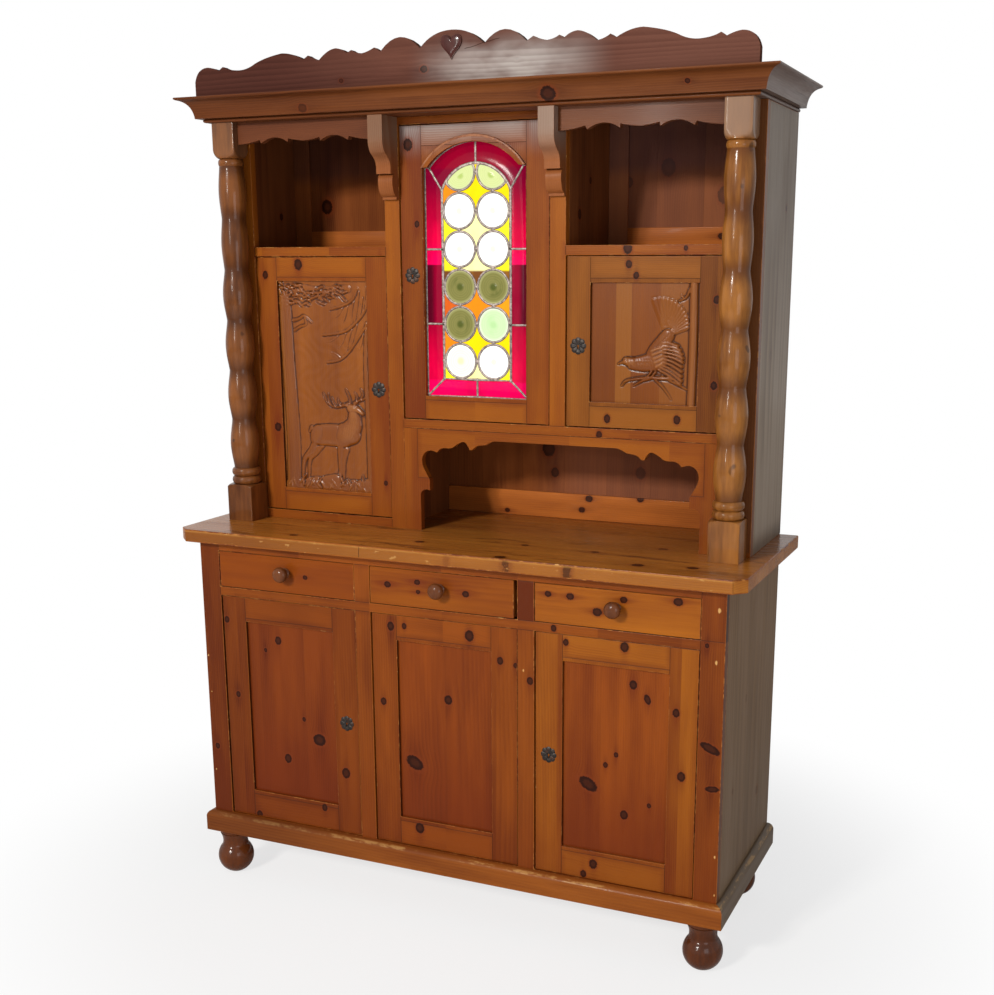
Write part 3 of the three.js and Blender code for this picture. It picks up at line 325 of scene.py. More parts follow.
def pine(name, light, dark, axes="xyz", plank=0.21, seam=0.0, zones=(), knots=(), chips=(),
         fade=None, pith=0.0, gloss=0.36, contrast=1.0, wear=(), inside=None, paint=None, coat=0.04,
         sheen=0.12):
    """Varnished pine. axes names the ways across the grain, into the board and along the grain.

    A zone is (x0, x1, z0, z1, turned, tint): a board within the piece, with its grain turned
    or not, and darker above 0. A knot is (across, along, radius[, stretch, tilt]) on the face,
    a chip (across, along, radius). fade is (from, to, colour, share) along the height.
    wear lists heights (from, to) of rubbed edges. inside is (half width, light, dark) of the
    faces that look inwards. paint(finish, colour, grain) has the last word on the colour.
    """
    finish = Finish(name)
    ways = {"x": finish.x, "y": finish.y, "z": finish.z}
    across, deep, along = (ways[letter] for letter in axes)
    face = (across, along)
    number = (across / plank).math("FLOOR")
    lines = (across / plank).math("FRACT").smooth(0.0014 / plank, 0.0004 / plank) * seam
    across, along, number, lines, grime_and_shade, tint = joined_boards(finish, zones, across, along, number, lines)
    seed = lottery(number)
    flow, core_reach, flare = flow_round(knots, face, across)
    stretched = joined(flow * 5.5 + seed * 40, deep * 3.0, along * 0.9 + seed * 17)
    drift = noise(stretched, 1.0, 2.0) - 0.5
    cloud = noise(joined(across * 9, deep * 9, along * 2.2 + seed * 31), 1.0, 3.0) - 0.5
    blotch = noise(joined(face[0] * 4 + seed * 9, deep * 4, face[1] * 2.6), 1.0, 3.0)
    offset = (seed - 0.5) * 0.14 - pith
    from_pith = flow + offset + drift * 0.05
    radius_out = hypot(from_pith, deep + PITH_DEPTH)
    ring = (radius_out / RING_PITCH + cloud * 0.9).math("FRACT")
    late = ring.smooth(0.1, 0.85) * ring.smooth(1.0, 0.88)
    fibre = noise(joined(flow * 520, deep * 520, along * 14), 1.0, 2.0, 0.6) - 0.5
    grain = late * cloud.smooth(-0.25, 0.2)
    bands_along = noise(joined(across * 34 + seed * 23, deep * 20, along * 2.6), 1.0, 2.0) - 0.5
    amount = grain * (0.26 * contrast) + cloud * 1.1 + bands_along * 0.9 + fibre * 0.45 + drift * 0.6
    amount = amount + (seed - 0.5) * 0.3 + 0.32
    if tint is not None:
        amount = amount + tint
    if flare is not None:
        amount = amount + flare * 0.45
    if inside is not None:
        half, inner_light, inner_dark = inside
        inwards = abs(finish.x).smooth(half, half - 0.0004)
        light = mix(inwards, light, inner_light)
        dark = mix(inwards, dark, inner_dark)
    colour = mix(amount.math("MINIMUM", 1.0).math("MAXIMUM", 0.0), light, dark)
    if fade is not None:
        start, end, fade_colour, share = fade
        colour = mix(finish.z.smooth(start, end) * share, colour, streaked(grain, fade_colour, dark))
    colour = mix(blotch.smooth(0.5, 0.72) * 0.35, colour, dark)
    # grime and painted shade darken the wood near the joints between boards
    if grime_and_shade is not None:
        colour = mix(grime_and_shade * blotch.smooth(0.3, 0.6) * 0.45, colour, dark)
    height = late * 0.35 + fibre * 0.4 - lines * 2.0
    rough = fibre * 0.25 + cloud * 0.2 + gloss
    if core_reach is not None:
        colour, height = knotted(finish, core_reach, cloud, colour, height)
    colour, height = chipped(chips, face, (cloud, fibre), colour, height)
    for low, high in wear:
        patchy = noise(joined(finish.x * 14, finish.y * 14, finish.z * 60), 1.0, 5.0, 0.75)
        colour = mix(between(finish.z, low, high) * patchy.smooth(0.48, 0.62) * 0.4, colour, CHIP)
    if paint is not None:
        colour = paint(finish, colour, grain)
    colour = mix(lines * 0.75, colour, DARK_STAIN)
    finish.set(base_color=colour, roughness=rough, coat_weight=coat, coat_roughness=sheen,
               specular_ior_level=0.07 if coat > 0 else 0.0)
    finish.bump(height, 0.0006, 0.35)
    return finish.material


# The edge that every board shows: rubbed lighter here and there
def worn_edge():
    finish = Finish("worn_edge")
    rubbed = noise(finish.place, 60.0, 4.0, 0.7).smooth(0.46, 0.62)
    broad = noise(finish.place, 5.0, 2.0).smooth(0.4, 0.6)
    colour = mix(rubbed * broad * 0.7, mix(broad, AMBER, RUSSET), HONEY)
    chipped = noise(finish.place, 34.0, 3.0, 0.7).smooth(0.66, 0.70)
    colour = mix(chipped * 0.7, colour, CHIP)
    finish.set(base_color=colour, roughness=rubbed * 0.2 + 0.35, coat_weight=0.06, coat_roughness=0.2,
               specular_ior_level=0.12)
    finish.bump(rubbed, 0.0004, 0.4)
    return finish.material


WORN_EDGE = worn_edge()
SMOOTH_ANGLE = 38


def smoothing():
    """Geometry nodes that shade a faceted surface smooth, but not over its real corners."""
    group = bpy.data.node_groups.new("smooth_by_angle", "GeometryNodeTree")
    group.interface.new_socket("Geometry", in_out="INPUT", socket_type="NodeSocketGeometry")
    group.interface.new_socket("Geometry", in_out="OUTPUT", socket_type="NodeSocketGeometry")
    entry = group.nodes.new("NodeGroupInput")
    exit_node = group.nodes.new("NodeGroupOutput")
    angle = group.nodes.new("GeometryNodeInputMeshEdgeAngle")
    below = group.nodes.new("FunctionNodeCompare")
    below.operation = "LESS_THAN"
    below.inputs[1].default_value = math.radians(SMOOTH_ANGLE)
    faces = group.nodes.new("GeometryNodeSetShadeSmooth")
    edges = group.nodes.new("GeometryNodeSetShadeSmooth")
    edges.domain = "EDGE"
    group.links.new(entry.outputs[0], faces.inputs["Geometry"])
    group.links.new(faces.outputs[0], edges.inputs["Geometry"])
    group.links.new(angle.outputs[0], below.inputs[0])
    group.links.new(below.outputs[0], edges.inputs["Shade Smooth"])
    group.links.new(edges.outputs[0], exit_node.inputs[0])
    return group


SMOOTHING = smoothing()


def weld(piece, distance=0.000005):
    """Joins the corners that lie in one place."""
    modifier = piece.modifiers.new("weld", "WELD")
    modifier.merge_threshold = distance


EASED_EDGE = 0.0012


def soften(piece, width=EASED_EDGE):
    """Rounds a node's edges by modifiers and gives them the worn finish."""
    weld(piece, 0.00001)
    if width > 0:
        bevel = piece.modifiers.new("bevel", "BEVEL")
        bevel.width = width
        bevel.segments = 2
        bevel.limit_method = "ANGLE"
        bevel.angle_limit = math.radians(50)
        bevel.material = 1
    shade = piece.modifiers.new("shade", "NODES")
    shade.node_group = SMOOTHING
    weighted = piece.modifiers.new("weighted", "WEIGHTED_NORMAL")
    weighted.keep_sharp = True


def dress(names, material, width=EASED_EDGE):
    """Gives CAD nodes their finish."""
    for name in names.split():
        slots = nodes[name].data.materials
        slots.clear()
        slots.append(material)
        slots.append(WORN_EDGE)
        soften(nodes[name], width)


def span(name):
    """A node's box as x0, x1, y0, y1, z0, z1."""
    low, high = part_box(name)
    return low.x, high.x, low.y, high.y, low.z, high.z


# Boards of the carcass
def painted_niche_shadow(finish, colour, grain):
    """Niche backs: lighter and greyer on the right, and a painted shadow under the top of the niches, where
    the frame's top rail and the valances shade them; the painted shadow is lighter in the right niche.
    """
    right = finish.x.smooth(0.0, 0.2)
    colour = mix(right * 0.3, colour, tone(158, 108, 88))
    # painted shadow of the frame's top rail and valances above 1.82 m
    return mix(finish.z.smooth(1.82, 1.87) * 0.5, colour, mix(right, tone(34, 28, 36), tone(72, 54, 60)))


def dress_carcass():
    half = span("hutch_side_right")[1]

    def painted_side_sheen(finish, colour, grain):
        """The outer faces: a painted greyish reflection of the varnish on the hutch sides, fading out towards
        their top, and browner on the base.
        """
        outside = abs(finish.x).smooth(half - 0.0009, half - 0.0005)
        # painted greyish reflection of the varnish on the hutch sides
        painted_sheen = finish.z.smooth(1.85, 1.2) * finish.z.smooth(0.97, 1.02)
        colour = mix(painted_sheen * outside * 0.9, colour, streaked(grain, tone(158, 138, 117), SHEEN_GREY_BROWN))
        low = finish.z.smooth(0.955, 0.95) * finish.z.smooth(-0.4, 0.9)
        return mix(low * outside * 0.7, colour, streaked(grain, tone(136, 102, 66), tone(92, 64, 40)))

    side = pine("side_pine", SHEEN_GREY_OLIVE, SHEEN_GREY_BROWN, axes="yxz", plank=0.126, seam=0.35, gloss=0.42,
                paint=painted_side_sheen, inside=(half - 0.0005, tone(128, 74, 38), tone(86, 44, 24)),
                knots=((-0.02, 0.62, 0.009), (0.13, 0.33, 0.012), (-0.12, 0.42, 0.007), (0.08, 1.42, 0.011),
                       (0.18, 1.75, 0.008), (0.03, 1.18, 0.007)))
    dress("base_side_left base_side_right hutch_side_left hutch_side_right", side)
    inner = pine("inner_pine", tone(128, 74, 38), tone(86, 44, 24), axes="yxz", plank=0.14, seam=0.4,
                 gloss=0.5, knots=((0.05, 1.74, 0.012), (0.12, 1.82, 0.008)))
    dress("base_divider_left base_divider_right hutch_divider_left hutch_divider_right", inner)
    shelf = pine("shelf_pine", AMBER, RUSSET, axes="yzx", plank=0.15, seam=0.4, gloss=0.42)
    dress("base_bottom drawer_deck hutch_floor niche_floor_left niche_floor_right glass_door_shelf", shelf)
    back = pine("back_pine", tone(136, 76, 38), tone(92, 46, 25), plank=0.12, seam=0.5, gloss=0.5, coat=0.0,
                paint=painted_niche_shadow,
                knots=((0.389, 1.854, 0.022), (0.257, 1.881, 0.016), (0.287, 1.821, 0.012),
                       (0.531, 1.786, 0.018), (-0.582, 1.777, 0.02), (0.076, 1.148, 0.02),
                       (0.094, 1.085, 0.012), (0.332, 1.097, 0.016)))
    dress("base_back hutch_back", back)


def shaded_frame_ends(half):
    """The narrow end faces of a frame that show at the sides are darkened, and the strip of the hutch frame's
    front outside the columns takes a painted shadow of the columns.
    """
    def paint(finish, colour, grain):
        end = abs(finish.x).smooth(half - 0.0006, half - 0.0002)
        # painted shadow of the columns on the hutch frame's front beyond them
        outer = abs(finish.x).smooth(0.652, 0.672) * finish.z.smooth(0.97, 0.98)
        return mix(end.math("MAXIMUM", outer) * 0.75, colour,
                   streaked(grain, tone(98, 62, 38), tone(70, 42, 26)))
    return paint


def dress_frames():
    _, x1, _, _, z0, z1 = span("base_front_frame")
    stile, mullion_low, mullion_high = 0.643, 0.1985, 0.2415
    rail_low, rail_high, top_rail = 0.790, 0.813, 0.908
    base = pine("base_frame_pine", tone(136, 69, 19), tone(92, 38, 13), plank=0.2,
                zones=((-stile, stile, rail_low, rail_high, True, -0.2),
                       (-stile, stile, top_rail, z1, True, -0.2),
                       (mullion_low, mullion_high, rail_high, top_rail, False, 1.4),
                       (-x1, -stile, z0, z1, False, 0.5), (stile, x1, rail_high, z1, False, 0.0)),
                knots=((-0.681, 0.368, 0.008), (0.231, 0.666, 0.009), (0.672, 0.562, 0.027, 0.42, -24.0),
                       (0.680, 0.465, 0.018, 0.45, 6.0), (0.658, 0.802, 0.006), (0.291, 0.802, 0.008)),
                chips=((0.684, 0.885, 0.004), (0.68, 0.765, 0.004), (-0.694, 0.62, 0.002),
                       (-0.69, 0.52, 0.0015), (0.214, 0.69, 0.002), (0.692, 0.30, 0.0025),
                       (0.694, 0.205, 0.002), (-0.69, 0.3, 0.002)),
                fade=(0.5, 0.2, REDWOOD, 0.35), paint=shaded_frame_ends(x1))
    dress("base_front_frame", base)
    stile, mullion = 0.622, 0.238
    hutch = pine("hutch_frame_pine", AMBER, RUSSET, plank=0.2,
                 zones=((-stile, stile, 1.950, 1.968, True, 0.0),
                        (-stile, -mullion, 1.645, 1.668, True, -0.1),
                        (mullion, stile, 1.645, 1.668, True, -0.1),
                        (-0.198, stile, 1.2245, 1.247, True, 0.0),
                        (-stile, -mullion, 0.9645, 0.988, True, 0.1)),
                 knots=((0.39, 1.66, 0.012), (0.527, 1.66, 0.006), (0.326, 1.232, 0.008),
                        (-0.254, 1.64, 0.006)),
                 paint=shaded_frame_ends(span("hutch_front_frame")[1]))
    dress("hutch_front_frame", hutch)
    apron = pine("apron_pine", AMBER, RUSSET, plank=0.25,
                 zones=((-0.16, 0.585, 1.1, 1.2242, True, 0.0),))
    dress("niche_apron", apron, 0.0008)


def door_pine(name, stile, bottom, top, knots=(), fade=None, light=AMBER, dark=RUSSET, left=0.0,
              right=0.12):
    x0, x1, _, _, z0, z1 = span(name)
    return pine(name + "_pine", light, dark, plank=0.3, fade=fade,
                zones=((x0 + stile, x1 - stile, z0, z0 + bottom, True, -0.35),
                       (x0 + stile, x1 - stile, z1 - top, z1, True, -0.35),
                       (x1 - stile, x1, z0, z1, False, right),
                       (x0, x0 + stile, z0, z1, False, left)),
                knots=knots)


BASE_STILE = 0.068
BASE_TOP_RAIL = 0.064
BASE_BOTTOM_RAIL = 0.072
HUTCH_STILE = 0.058
HUTCH_RAIL = 0.059


def dress_doors():
    fade = (0.5, 0.2, REDWOOD, 0.3)
    frames = {
        "left": ((-0.631, 0.724, 0.009), (-0.608, 0.522, 0.009), (-0.286, 0.35, 0.012),
                 (-0.354, 0.243, 0.009), (-0.559, 0.19, 0.01)),
        "centre": ((-0.144, 0.759, 0.012), (-0.106, 0.763, 0.007), (0.071, 0.758, 0.013),
                   (0.152, 0.705, 0.009), (0.192, 0.698, 0.006), (-0.169, 0.561, 0.009),
                   (-0.074, 0.235, 0.014)),
        "right": ((0.32, 0.770, 0.008), (0.464, 0.775, 0.011), (0.59, 0.634, 0.009), (0.606, 0.482, 0.01),
                  (0.394, 0.225, 0.012), (0.369, 0.195, 0.009)),
    }
    panels = {
        "left": ((-0.481, 0.681, 0.010), (-0.521, 0.651, 0.006), (-0.412, 0.476, 0.006),
                 (-0.367, 0.426, 0.021, 0.9, 0.0), (-0.466, 0.36, 0.011)),
        "centre": ((0.008, 0.585, 0.012), (-0.087, 0.406, 0.020, 1.5, 62.0)),
        "right": ((0.484, 0.685, 0.011), (0.519, 0.654, 0.009, 1.6, 20.0), (0.445, 0.508, 0.006),
                  (0.419, 0.479, 0.006), (0.375, 0.425, 0.017, 1.6, 58.0), (0.467, 0.361, 0.010),
                  (0.528, 0.394, 0.006)),
    }
    stains = {
        "left": (tone(124, 60, 16), tone(85, 34, 12), tone(122, 56, 17), tone(85, 32, 13)),
        "centre": (tone(136, 68, 18), tone(92, 38, 13), tone(137, 65, 18), tone(91, 37, 14)),
        "right": (tone(150, 84, 22), tone(106, 46, 15), tone(146, 73, 20), tone(102, 43, 15)),
    }
    for bay, knots in frames.items():
        name = f"base_door_{bay}_frame"
        material = door_pine(name, BASE_STILE, BASE_BOTTOM_RAIL, BASE_TOP_RAIL, knots, fade, *stains[bay][:2],
                             right=-0.3 if bay == "left" else 0.12)
        dress(name, material)
    for bay, knots in panels.items():
        panel = pine(f"base_door_{bay}_panel_pine", *stains[bay][2:], plank=0.135, seam=0.25, knots=knots,
                     fade=(0.6, 0.25, REDWOOD, 0.7), contrast=0.8)
        dress(f"base_door_{bay}_panel", panel, 0)
    uppers = {
        "hutch_door_left_frame": ((-0.596, 1.599, 0.009), (-0.577, 1.208, 0.012), (-0.495, 1.625, 0.014),
                                  (-0.256, 1.078, 0.006)),
        "hutch_door_right_frame": ((0.392, 1.625, 0.009), (0.41, 1.600, 0.008), (0.344, 1.27, 0.009),
                                   (0.515, 1.275, 0.009), (0.600, 1.356, 0.01), (0.600, 1.547, 0.009)),
        "glass_door_frame": ((-0.172, 1.904, 0.014), (-0.152, 1.72, 0.008)),
    }
    for name, knots in uppers.items():
        rail = 0.057 if name == "glass_door_frame" else HUTCH_RAIL
        # the glass door's top rail above the hood: a painted whitish reflection of the varnish
        pale = (1.86, 1.97, tone(149, 147, 145), 0.9) if name == "glass_door_frame" else None
        light, dark = (tone(139, 81, 27), tone(98, 51, 19)) if "right" in name else (AMBER, RUSSET)
        material = door_pine(name, HUTCH_STILE, rail, rail, knots, pale, light, dark, 0.45 if pale else 0.0)
        dress(name, material)


def dress_drawers():
    knots = {
        "left": ((0.86, -0.384, 0.006),),
        "centre": ((0.865, -0.148, 0.009), (0.878, -0.066, 0.008), (0.854, -0.064, 0.006),
                   (0.861, 0.064, 0.009)),
        "right": ((0.883, 0.276, 0.008), (0.882, 0.331, 0.009), (0.852, 0.398, 0.01), (0.887, 0.461, 0.008),
                  (0.895, 0.589, 0.01)),
    }
    box_pine = pine("box_pine", HONEY, AMBER, axes="zxy", plank=0.2, gloss=0.55)
    lights = {"left": tone(136, 67, 13), "centre": tone(148, 80, 18), "right": GOLD}
    for bay, spots in knots.items():
        front = pine(f"drawer_{bay}_pine", lights[bay], RUSSET, axes="zyx", plank=0.4, knots=spots,
                     pith=0.86, contrast=0.8)
        dress(f"drawer_front_{bay}", front)
        dress(f"drawer_tray_{bay}", box_pine)


def dress_mouldings():
    dress("countertop", counter_pine(), 0.003)
    # greyish crest tones: partly a painted reflection of the varnish
    crest = pine("crest_pine", tone(106, 68, 56), tone(72, 42, 36), axes="zyx", plank=0.5, pith=2.06,
                 gloss=0.4, coat=0.0,
                 knots=((2.057, -0.071, 0.009), (2.043, -0.289, 0.006), (2.066, 0.16, 0.004)),
                 paint=crest_painted_sheen)
    dress("crest_board", crest, 0.001)
    # the last colour of each side is a painted greyish reflection of the varnish on the top blocks of the
    # brackets
    for side, light, dark, painted_sheen in (("left", tone(112, 63, 37), tone(82, 43, 25), tone(122, 97, 78)),
                                        ("right", tone(112, 65, 38), tone(82, 45, 27), tone(144, 126, 112))):
        valance = pine(f"valance_{side}_pine", light, dark, axes="zyx", plank=0.3)
        bracket = pine(f"bracket_{side}_pine", tone(146, 86, 46), tone(108, 56, 28), plank=0.3,
                       fade=(1.84, 1.93, painted_sheen, 0.8))
        dress(f"valance_{side}", valance, 0.0008)
        dress(f"bracket_{side}", bracket, 0.0008)


def counter_pine():
    front = span("countertop")[2]
    top = span("countertop")[5]

    def worn_slab(finish, colour, grain):
        """Dark feathering round the knots, rubbed arrises, and a crack across the front edge."""
        feather = noise(joined(finish.x * 5, finish.y * 26, finish.z * 10), 1.0, 4.0, 0.65)
        flat = finish.z.smooth(top - 0.003, top - 0.001)
        colour = mix(feather.smooth(0.56, 0.70) * flat * 0.7, colour, tone(84, 40, 16))
        far = finish.y.smooth(front + 0.12, front + 0.34)
        colour = mix(far * flat * 0.45, colour, tone(128, 70, 31))
        front_face = finish.y.smooth(front + 0.004, front + 0.001)
        colour = mix(front_face * (finish.x.smooth(0.45, -0.6) * 0.35 + 0.4), colour, tone(112, 62, 24))
        patchy = noise(joined(finish.x * 16, finish.y * 60, finish.z * 60), 1.0, 5.0, 0.75)
        arris = finish.y.smooth(front + 0.006, front + 0.002) * finish.z.smooth(top - 0.009, top - 0.003)
        colour = mix(arris * patchy.smooth(0.3, 0.5) * 0.35, colour, tone(214, 156, 82))
        colour = mix(arris * patchy.smooth(0.58, 0.66) * 0.6, colour, CHIP)
        dents = noise(joined(finish.x * 40, finish.y * 40, finish.z * 90), 1.0, 2.0).smooth(0.70, 0.74)
        colour = mix(dents * front_face * 0.35, colour, CHIP)
        wander = noise(joined(finish.z * 60, finish.y * 30, 0.0), 1.0, 2.0) - 0.5
        split = abs(finish.x + 0.2055 + wander * 0.012).smooth(0.0014, 0.0005)
        split = split * finish.y.smooth(front + 0.022, front + 0.016)
        drift = noise(joined(finish.x * 22, 0.0, 0.0), 1.0, 2.0) - 0.5
        beside = abs(finish.y - front - 0.020 - (finish.x + 0.2055) * 0.32 + drift * 0.010)
        shake = beside.smooth(0.0016, 0.0005)
        shake = shake * abs(finish.x + 0.172).smooth(0.040, 0.034) * flat
        return mix(split.math("MAXIMUM", shake) * 0.85, colour, DARK_STAIN)

    knots = ((-0.206, 0.484, 0.012), (-0.186, 0.607, 0.012), (-0.019, 0.485, 0.011), (-0.251, 0.163, 0.012),
             (-0.106, 0.164, 0.009), (-0.279, 0.336, 0.014), (-0.114, 0.347, 0.009), (-0.22, -0.42, 0.010),
             (-0.278, 0.031, 0.010), (-0.281, 0.184, 0.016), (-0.17, -0.09, 0.010))
    return pine("counter_pine", tone(186, 117, 45), tone(132, 74, 29), axes="yzx", plank=0.16, seam=0.4,
                knots=knots, gloss=0.26, paint=worn_slab, coat=0.12)


def crest_painted_sheen(finish, colour, grain):
    """The crest is darker towards its left end, carries a painted greyish reflection of its varnish in the
    middle, and is split beside the heart.
    """
    patchy = noise(joined(finish.x * 7, finish.y * 7, finish.z * 16), 1.0, 3.0)
    middle = finish.x.smooth(-0.12, 0.10) * finish.x.smooth(0.40, 0.18) * finish.z.smooth(2.135, 2.06)
    colour = mix(finish.x.smooth(-0.05, -0.5) * 0.9, colour,
                 streaked(grain, tone(76, 44, 37), tone(50, 28, 24)))
    colour = mix(finish.x.smooth(0.24, 0.46) * 0.85, colour,
                 streaked(grain, tone(110, 72, 60), tone(78, 47, 39)))
    painted_reflection = streaked(grain, tone(192, 184, 178), tone(132, 118, 112), 0.4)
    # painted greyish reflection of the varnish in the middle of the crest
    colour = mix(middle * patchy.smooth(0.2, 0.55) * 0.78, colour, painted_reflection)
    wander = noise(joined(finish.x * 30, 0.0, 0.0), 1.0, 2.0) - 0.5
    split = abs(finish.z - 2.094 - (finish.x - 0.03) * 0.2 + wander * 0.006).smooth(0.0012, 0.0004)
    split = split * abs(finish.x - 0.075).smooth(0.046, 0.040)
    return mix(split * 0.8, colour, DARK_STAIN)


dress_carcass()
dress_frames()
dress_doors()
dress_drawers()
dress_mouldings()


# Modelled pieces, each closed, that stand for nodes or add what the solids leave out
def make_piece(name, shape, body, material, stands_for=(), angle=SMOOTH_ANGLE):
    """A closed piece that rides on a body and may stand for nodes. shape is its points and faces."""
    points, faces = shape
    mesh = bpy.data.meshes.new(name)
    mesh.from_pydata([tuple(point) for point in points], [], faces)
    mesh.validate()
    shell = bmesh.new()
    shell.from_mesh(mesh)
    bmesh.ops.recalc_face_normals(shell, faces=shell.faces)
    shell.to_mesh(mesh)
    shell.free()
    mesh.materials.append(material)
    mesh.shade_smooth()
    mesh.set_sharp_from_angle(angle=math.radians(angle))
    piece = placed(name, mesh)
    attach(piece, body)
    if stands_for:
        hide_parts(*stands_for)
    return piece


def reversed_faces(faces):
    return [tuple(reversed(face)) for face in faces]


def loft(loops, closed_ends=True, turned_over=False):
    """Points and faces of a skin over closed loops with as many points each."""
    count = len(loops[0])
    points = [point for loop in loops for point in loop]
    faces = []
    for row in range(len(loops) - 1):
        for i in range(count):
            j = (i + 1) % count
            low = row * count
            high = low + count
            faces.append((low + i, low + j, high + j, high + i))
    if closed_ends:
        faces.append(tuple(reversed(range(count))))
        faces.append(tuple(range(len(points) - count, len(points))))
    return points, reversed_faces(faces) if turned_over else faces


def turns(count):
    """Angles spread evenly over a full turn."""
    return [2 * math.pi * i / count for i in range(count)]


def shares(count, start=1):
    """Even steps up to 1."""
    return [i / count for i in range(start, count + 1)]


def turned_loops(profile, sides, centre, square=None):
    """Loops round an upright axis. Where square(height) gives a half width, the loop stays inside it."""
    loops = []
    for radius, height in profile:
        half = square(height) if square else None
        loop = []
        for angle in turns(sides):
            reach = radius
            if half is not None:
                sides_sum = abs(math.cos(angle)) ** SQUARENESS + abs(math.sin(angle)) ** SQUARENESS
                reach = min(radius, half / sides_sum ** (1 / SQUARENESS))
            loop.append((centre[0] + reach * math.cos(angle), centre[1] + reach * math.sin(angle), height))
        loops.append(loop)
    return loops


def arc_profile(radius, depth, base, height, steps):
    """A half-round ring of a turning that stands depth out from its shaft."""
    return [(radius - depth + depth * math.sin(math.pi * share),
             base + height * (1 - math.cos(math.pi * share)) / 2) for share in shares(steps, 0)]


FIT = 0.0003
SQUARENESS = 26
TURNED_SIDES = 48
COLUMN_SIDES = 96


def turned_finish(name, light, dark, gloss, pale=None, waves=None):
    """Turned and varnished pine. pale is (height, share) from where on a painted greyish reflection of the
    varnish lies over it.

    waves is (base, top, count): the waists between so many swellings are darker.
    """
    finish = Finish(name)
    streak = noise(joined(finish.x * 90, finish.y * 90, finish.z * 9), 1.0, 3.0, 0.6)
    cloud = noise(joined(finish.x * 14, finish.y * 14, finish.z * 6), 1.0, 3.0)
    figure = streak * 0.5 + cloud * 0.9 - 0.2
    colour = mix(figure.smooth(0.2, 0.85), light, dark)
    spots = noise(finish.place, 26.0, 1.0).smooth(0.72, 0.78)
    colour = mix(spots * 0.6, colour, KNOT)
    if pale is not None:
        height, share = pale
        # painted reflection of the varnish over the top
        colour = mix(finish.z.smooth(height, height + 0.012) * share, colour, tone(138, 108, 86))
    if waves is not None:
        base, top, count = waves
        place = ((finish.z - base) * (count / (top - base))).math("FRACT")
        within = between(finish.z, base - 0.001, top, 0.001)
        colour = mix(abs(place - 0.5).smooth(0.2, 0.5) * within * 0.75, colour, dark)
    finish.set(base_color=colour, roughness=streak * 0.12 + gloss, coat_weight=0.3, coat_roughness=0.1,
               specular_ior_level=0.06)
    finish.bump(streak, 0.0004, 0.2)
    return finish.material


def make_feet():
    material = turned_finish("foot_finish", tone(100, 51, 22), tone(62, 30, 15), 0.2)
    ball = 0.048
    flat = 0.017
    neck = 0.035
    collar = 0.039
    centre_height = math.sqrt(ball ** 2 - flat ** 2)
    for name in ("foot_front_left", "foot_front_right", "foot_rear_left", "foot_rear_right"):
        x0, x1, y0, y1, _, z1 = span(name)
        profile = [(flat * 0.5, 0.0), (flat, 0.0)]
        low = -math.acos(flat / ball)
        high = math.acos(neck / ball)
        for share in shares(20):
            angle = low + (high - low) * share
            profile.append((ball * math.cos(angle), centre_height + ball * math.sin(angle)))
        neck_base = profile[-1][1]
        collar_base = z1 - 0.014
        for share in shares(8):
            dip = 0.0025 * math.sin(math.pi * share)
            reach = neck + (collar - neck) * share ** 2 - dip
            profile.append((reach, neck_base + (collar_base - neck_base) * share))
        profile += arc_profile(collar, 0.002, collar_base, z1 - collar_base - 0.001, 6)
        profile.append((collar * 0.5, z1))
        centre = ((x0 + x1) / 2, (y0 + y1) / 2)
        shape = loft(turned_loops(profile, TURNED_SIDES, centre))
        make_piece(name + "_turning", shape, "carcass", material, (name,))


# Columns: square blocks whose ends are turned into shoulders, rings and a wavy shaft
COLUMN_HALF_BLOCK = 0.0375
COLUMN_HALF_TOP = 0.0315
COLUMN_WAIST = 0.030
COLUMN_BULGES = 6
COLUMN_BLOCK = 0.096
COLUMN_TOP_BLOCK = 0.086
COLUMN_RING = 0.0215
COLUMN_TOP_RING = 0.017


def column_profile(z0, z1):
    shaft = COLUMN_HALF_BLOCK - FIT
    corner = COLUMN_HALF_BLOCK * 1.45
    block_top = z0 + COLUMN_BLOCK
    shoulder = 0.013
    top_block = z1 - COLUMN_TOP_BLOCK
    profile = [(COLUMN_HALF_BLOCK * 0.6, z0), (corner, z0), (corner, block_top - shoulder)]
    for share in shares(8):
        angle = math.pi / 2 * share
        reach = corner - (corner - COLUMN_HALF_BLOCK * 0.97) * (1 - math.cos(angle))
        profile.append((reach, block_top - shoulder + shoulder * math.sin(angle)))
    profile.append((COLUMN_WAIST, block_top))
    base = block_top
    for _ in range(2):
        profile += arc_profile(shaft, shaft - COLUMN_WAIST, base, COLUMN_RING, 8)[1:]
        base += COLUMN_RING
    top = top_block - COLUMN_TOP_RING
    pitch = (top - base) / COLUMN_BULGES
    for bulge in range(COLUMN_BULGES):
        radius = shaft if bulge < COLUMN_BULGES - 2 else 0.0345
        for share in shares(16):
            swell = math.sin(math.pi * share) ** 1.25
            profile.append((COLUMN_WAIST + (radius - COLUMN_WAIST) * swell, base + pitch * (bulge + share)))
    profile += arc_profile(0.032, 0.032 - COLUMN_WAIST + 0.002, top, COLUMN_TOP_RING, 8)[1:]
    corner = COLUMN_HALF_TOP * 1.45
    start = COLUMN_HALF_TOP * 0.75
    for share in shares(8, 0):
        angle = math.pi / 2 * share
        profile.append((start + (corner - start) * math.sin(angle),
                        top_block + 0.034 * (1 - math.cos(angle))))
    profile += [(corner, z1), (COLUMN_HALF_TOP * 0.6, z1)]
    return profile


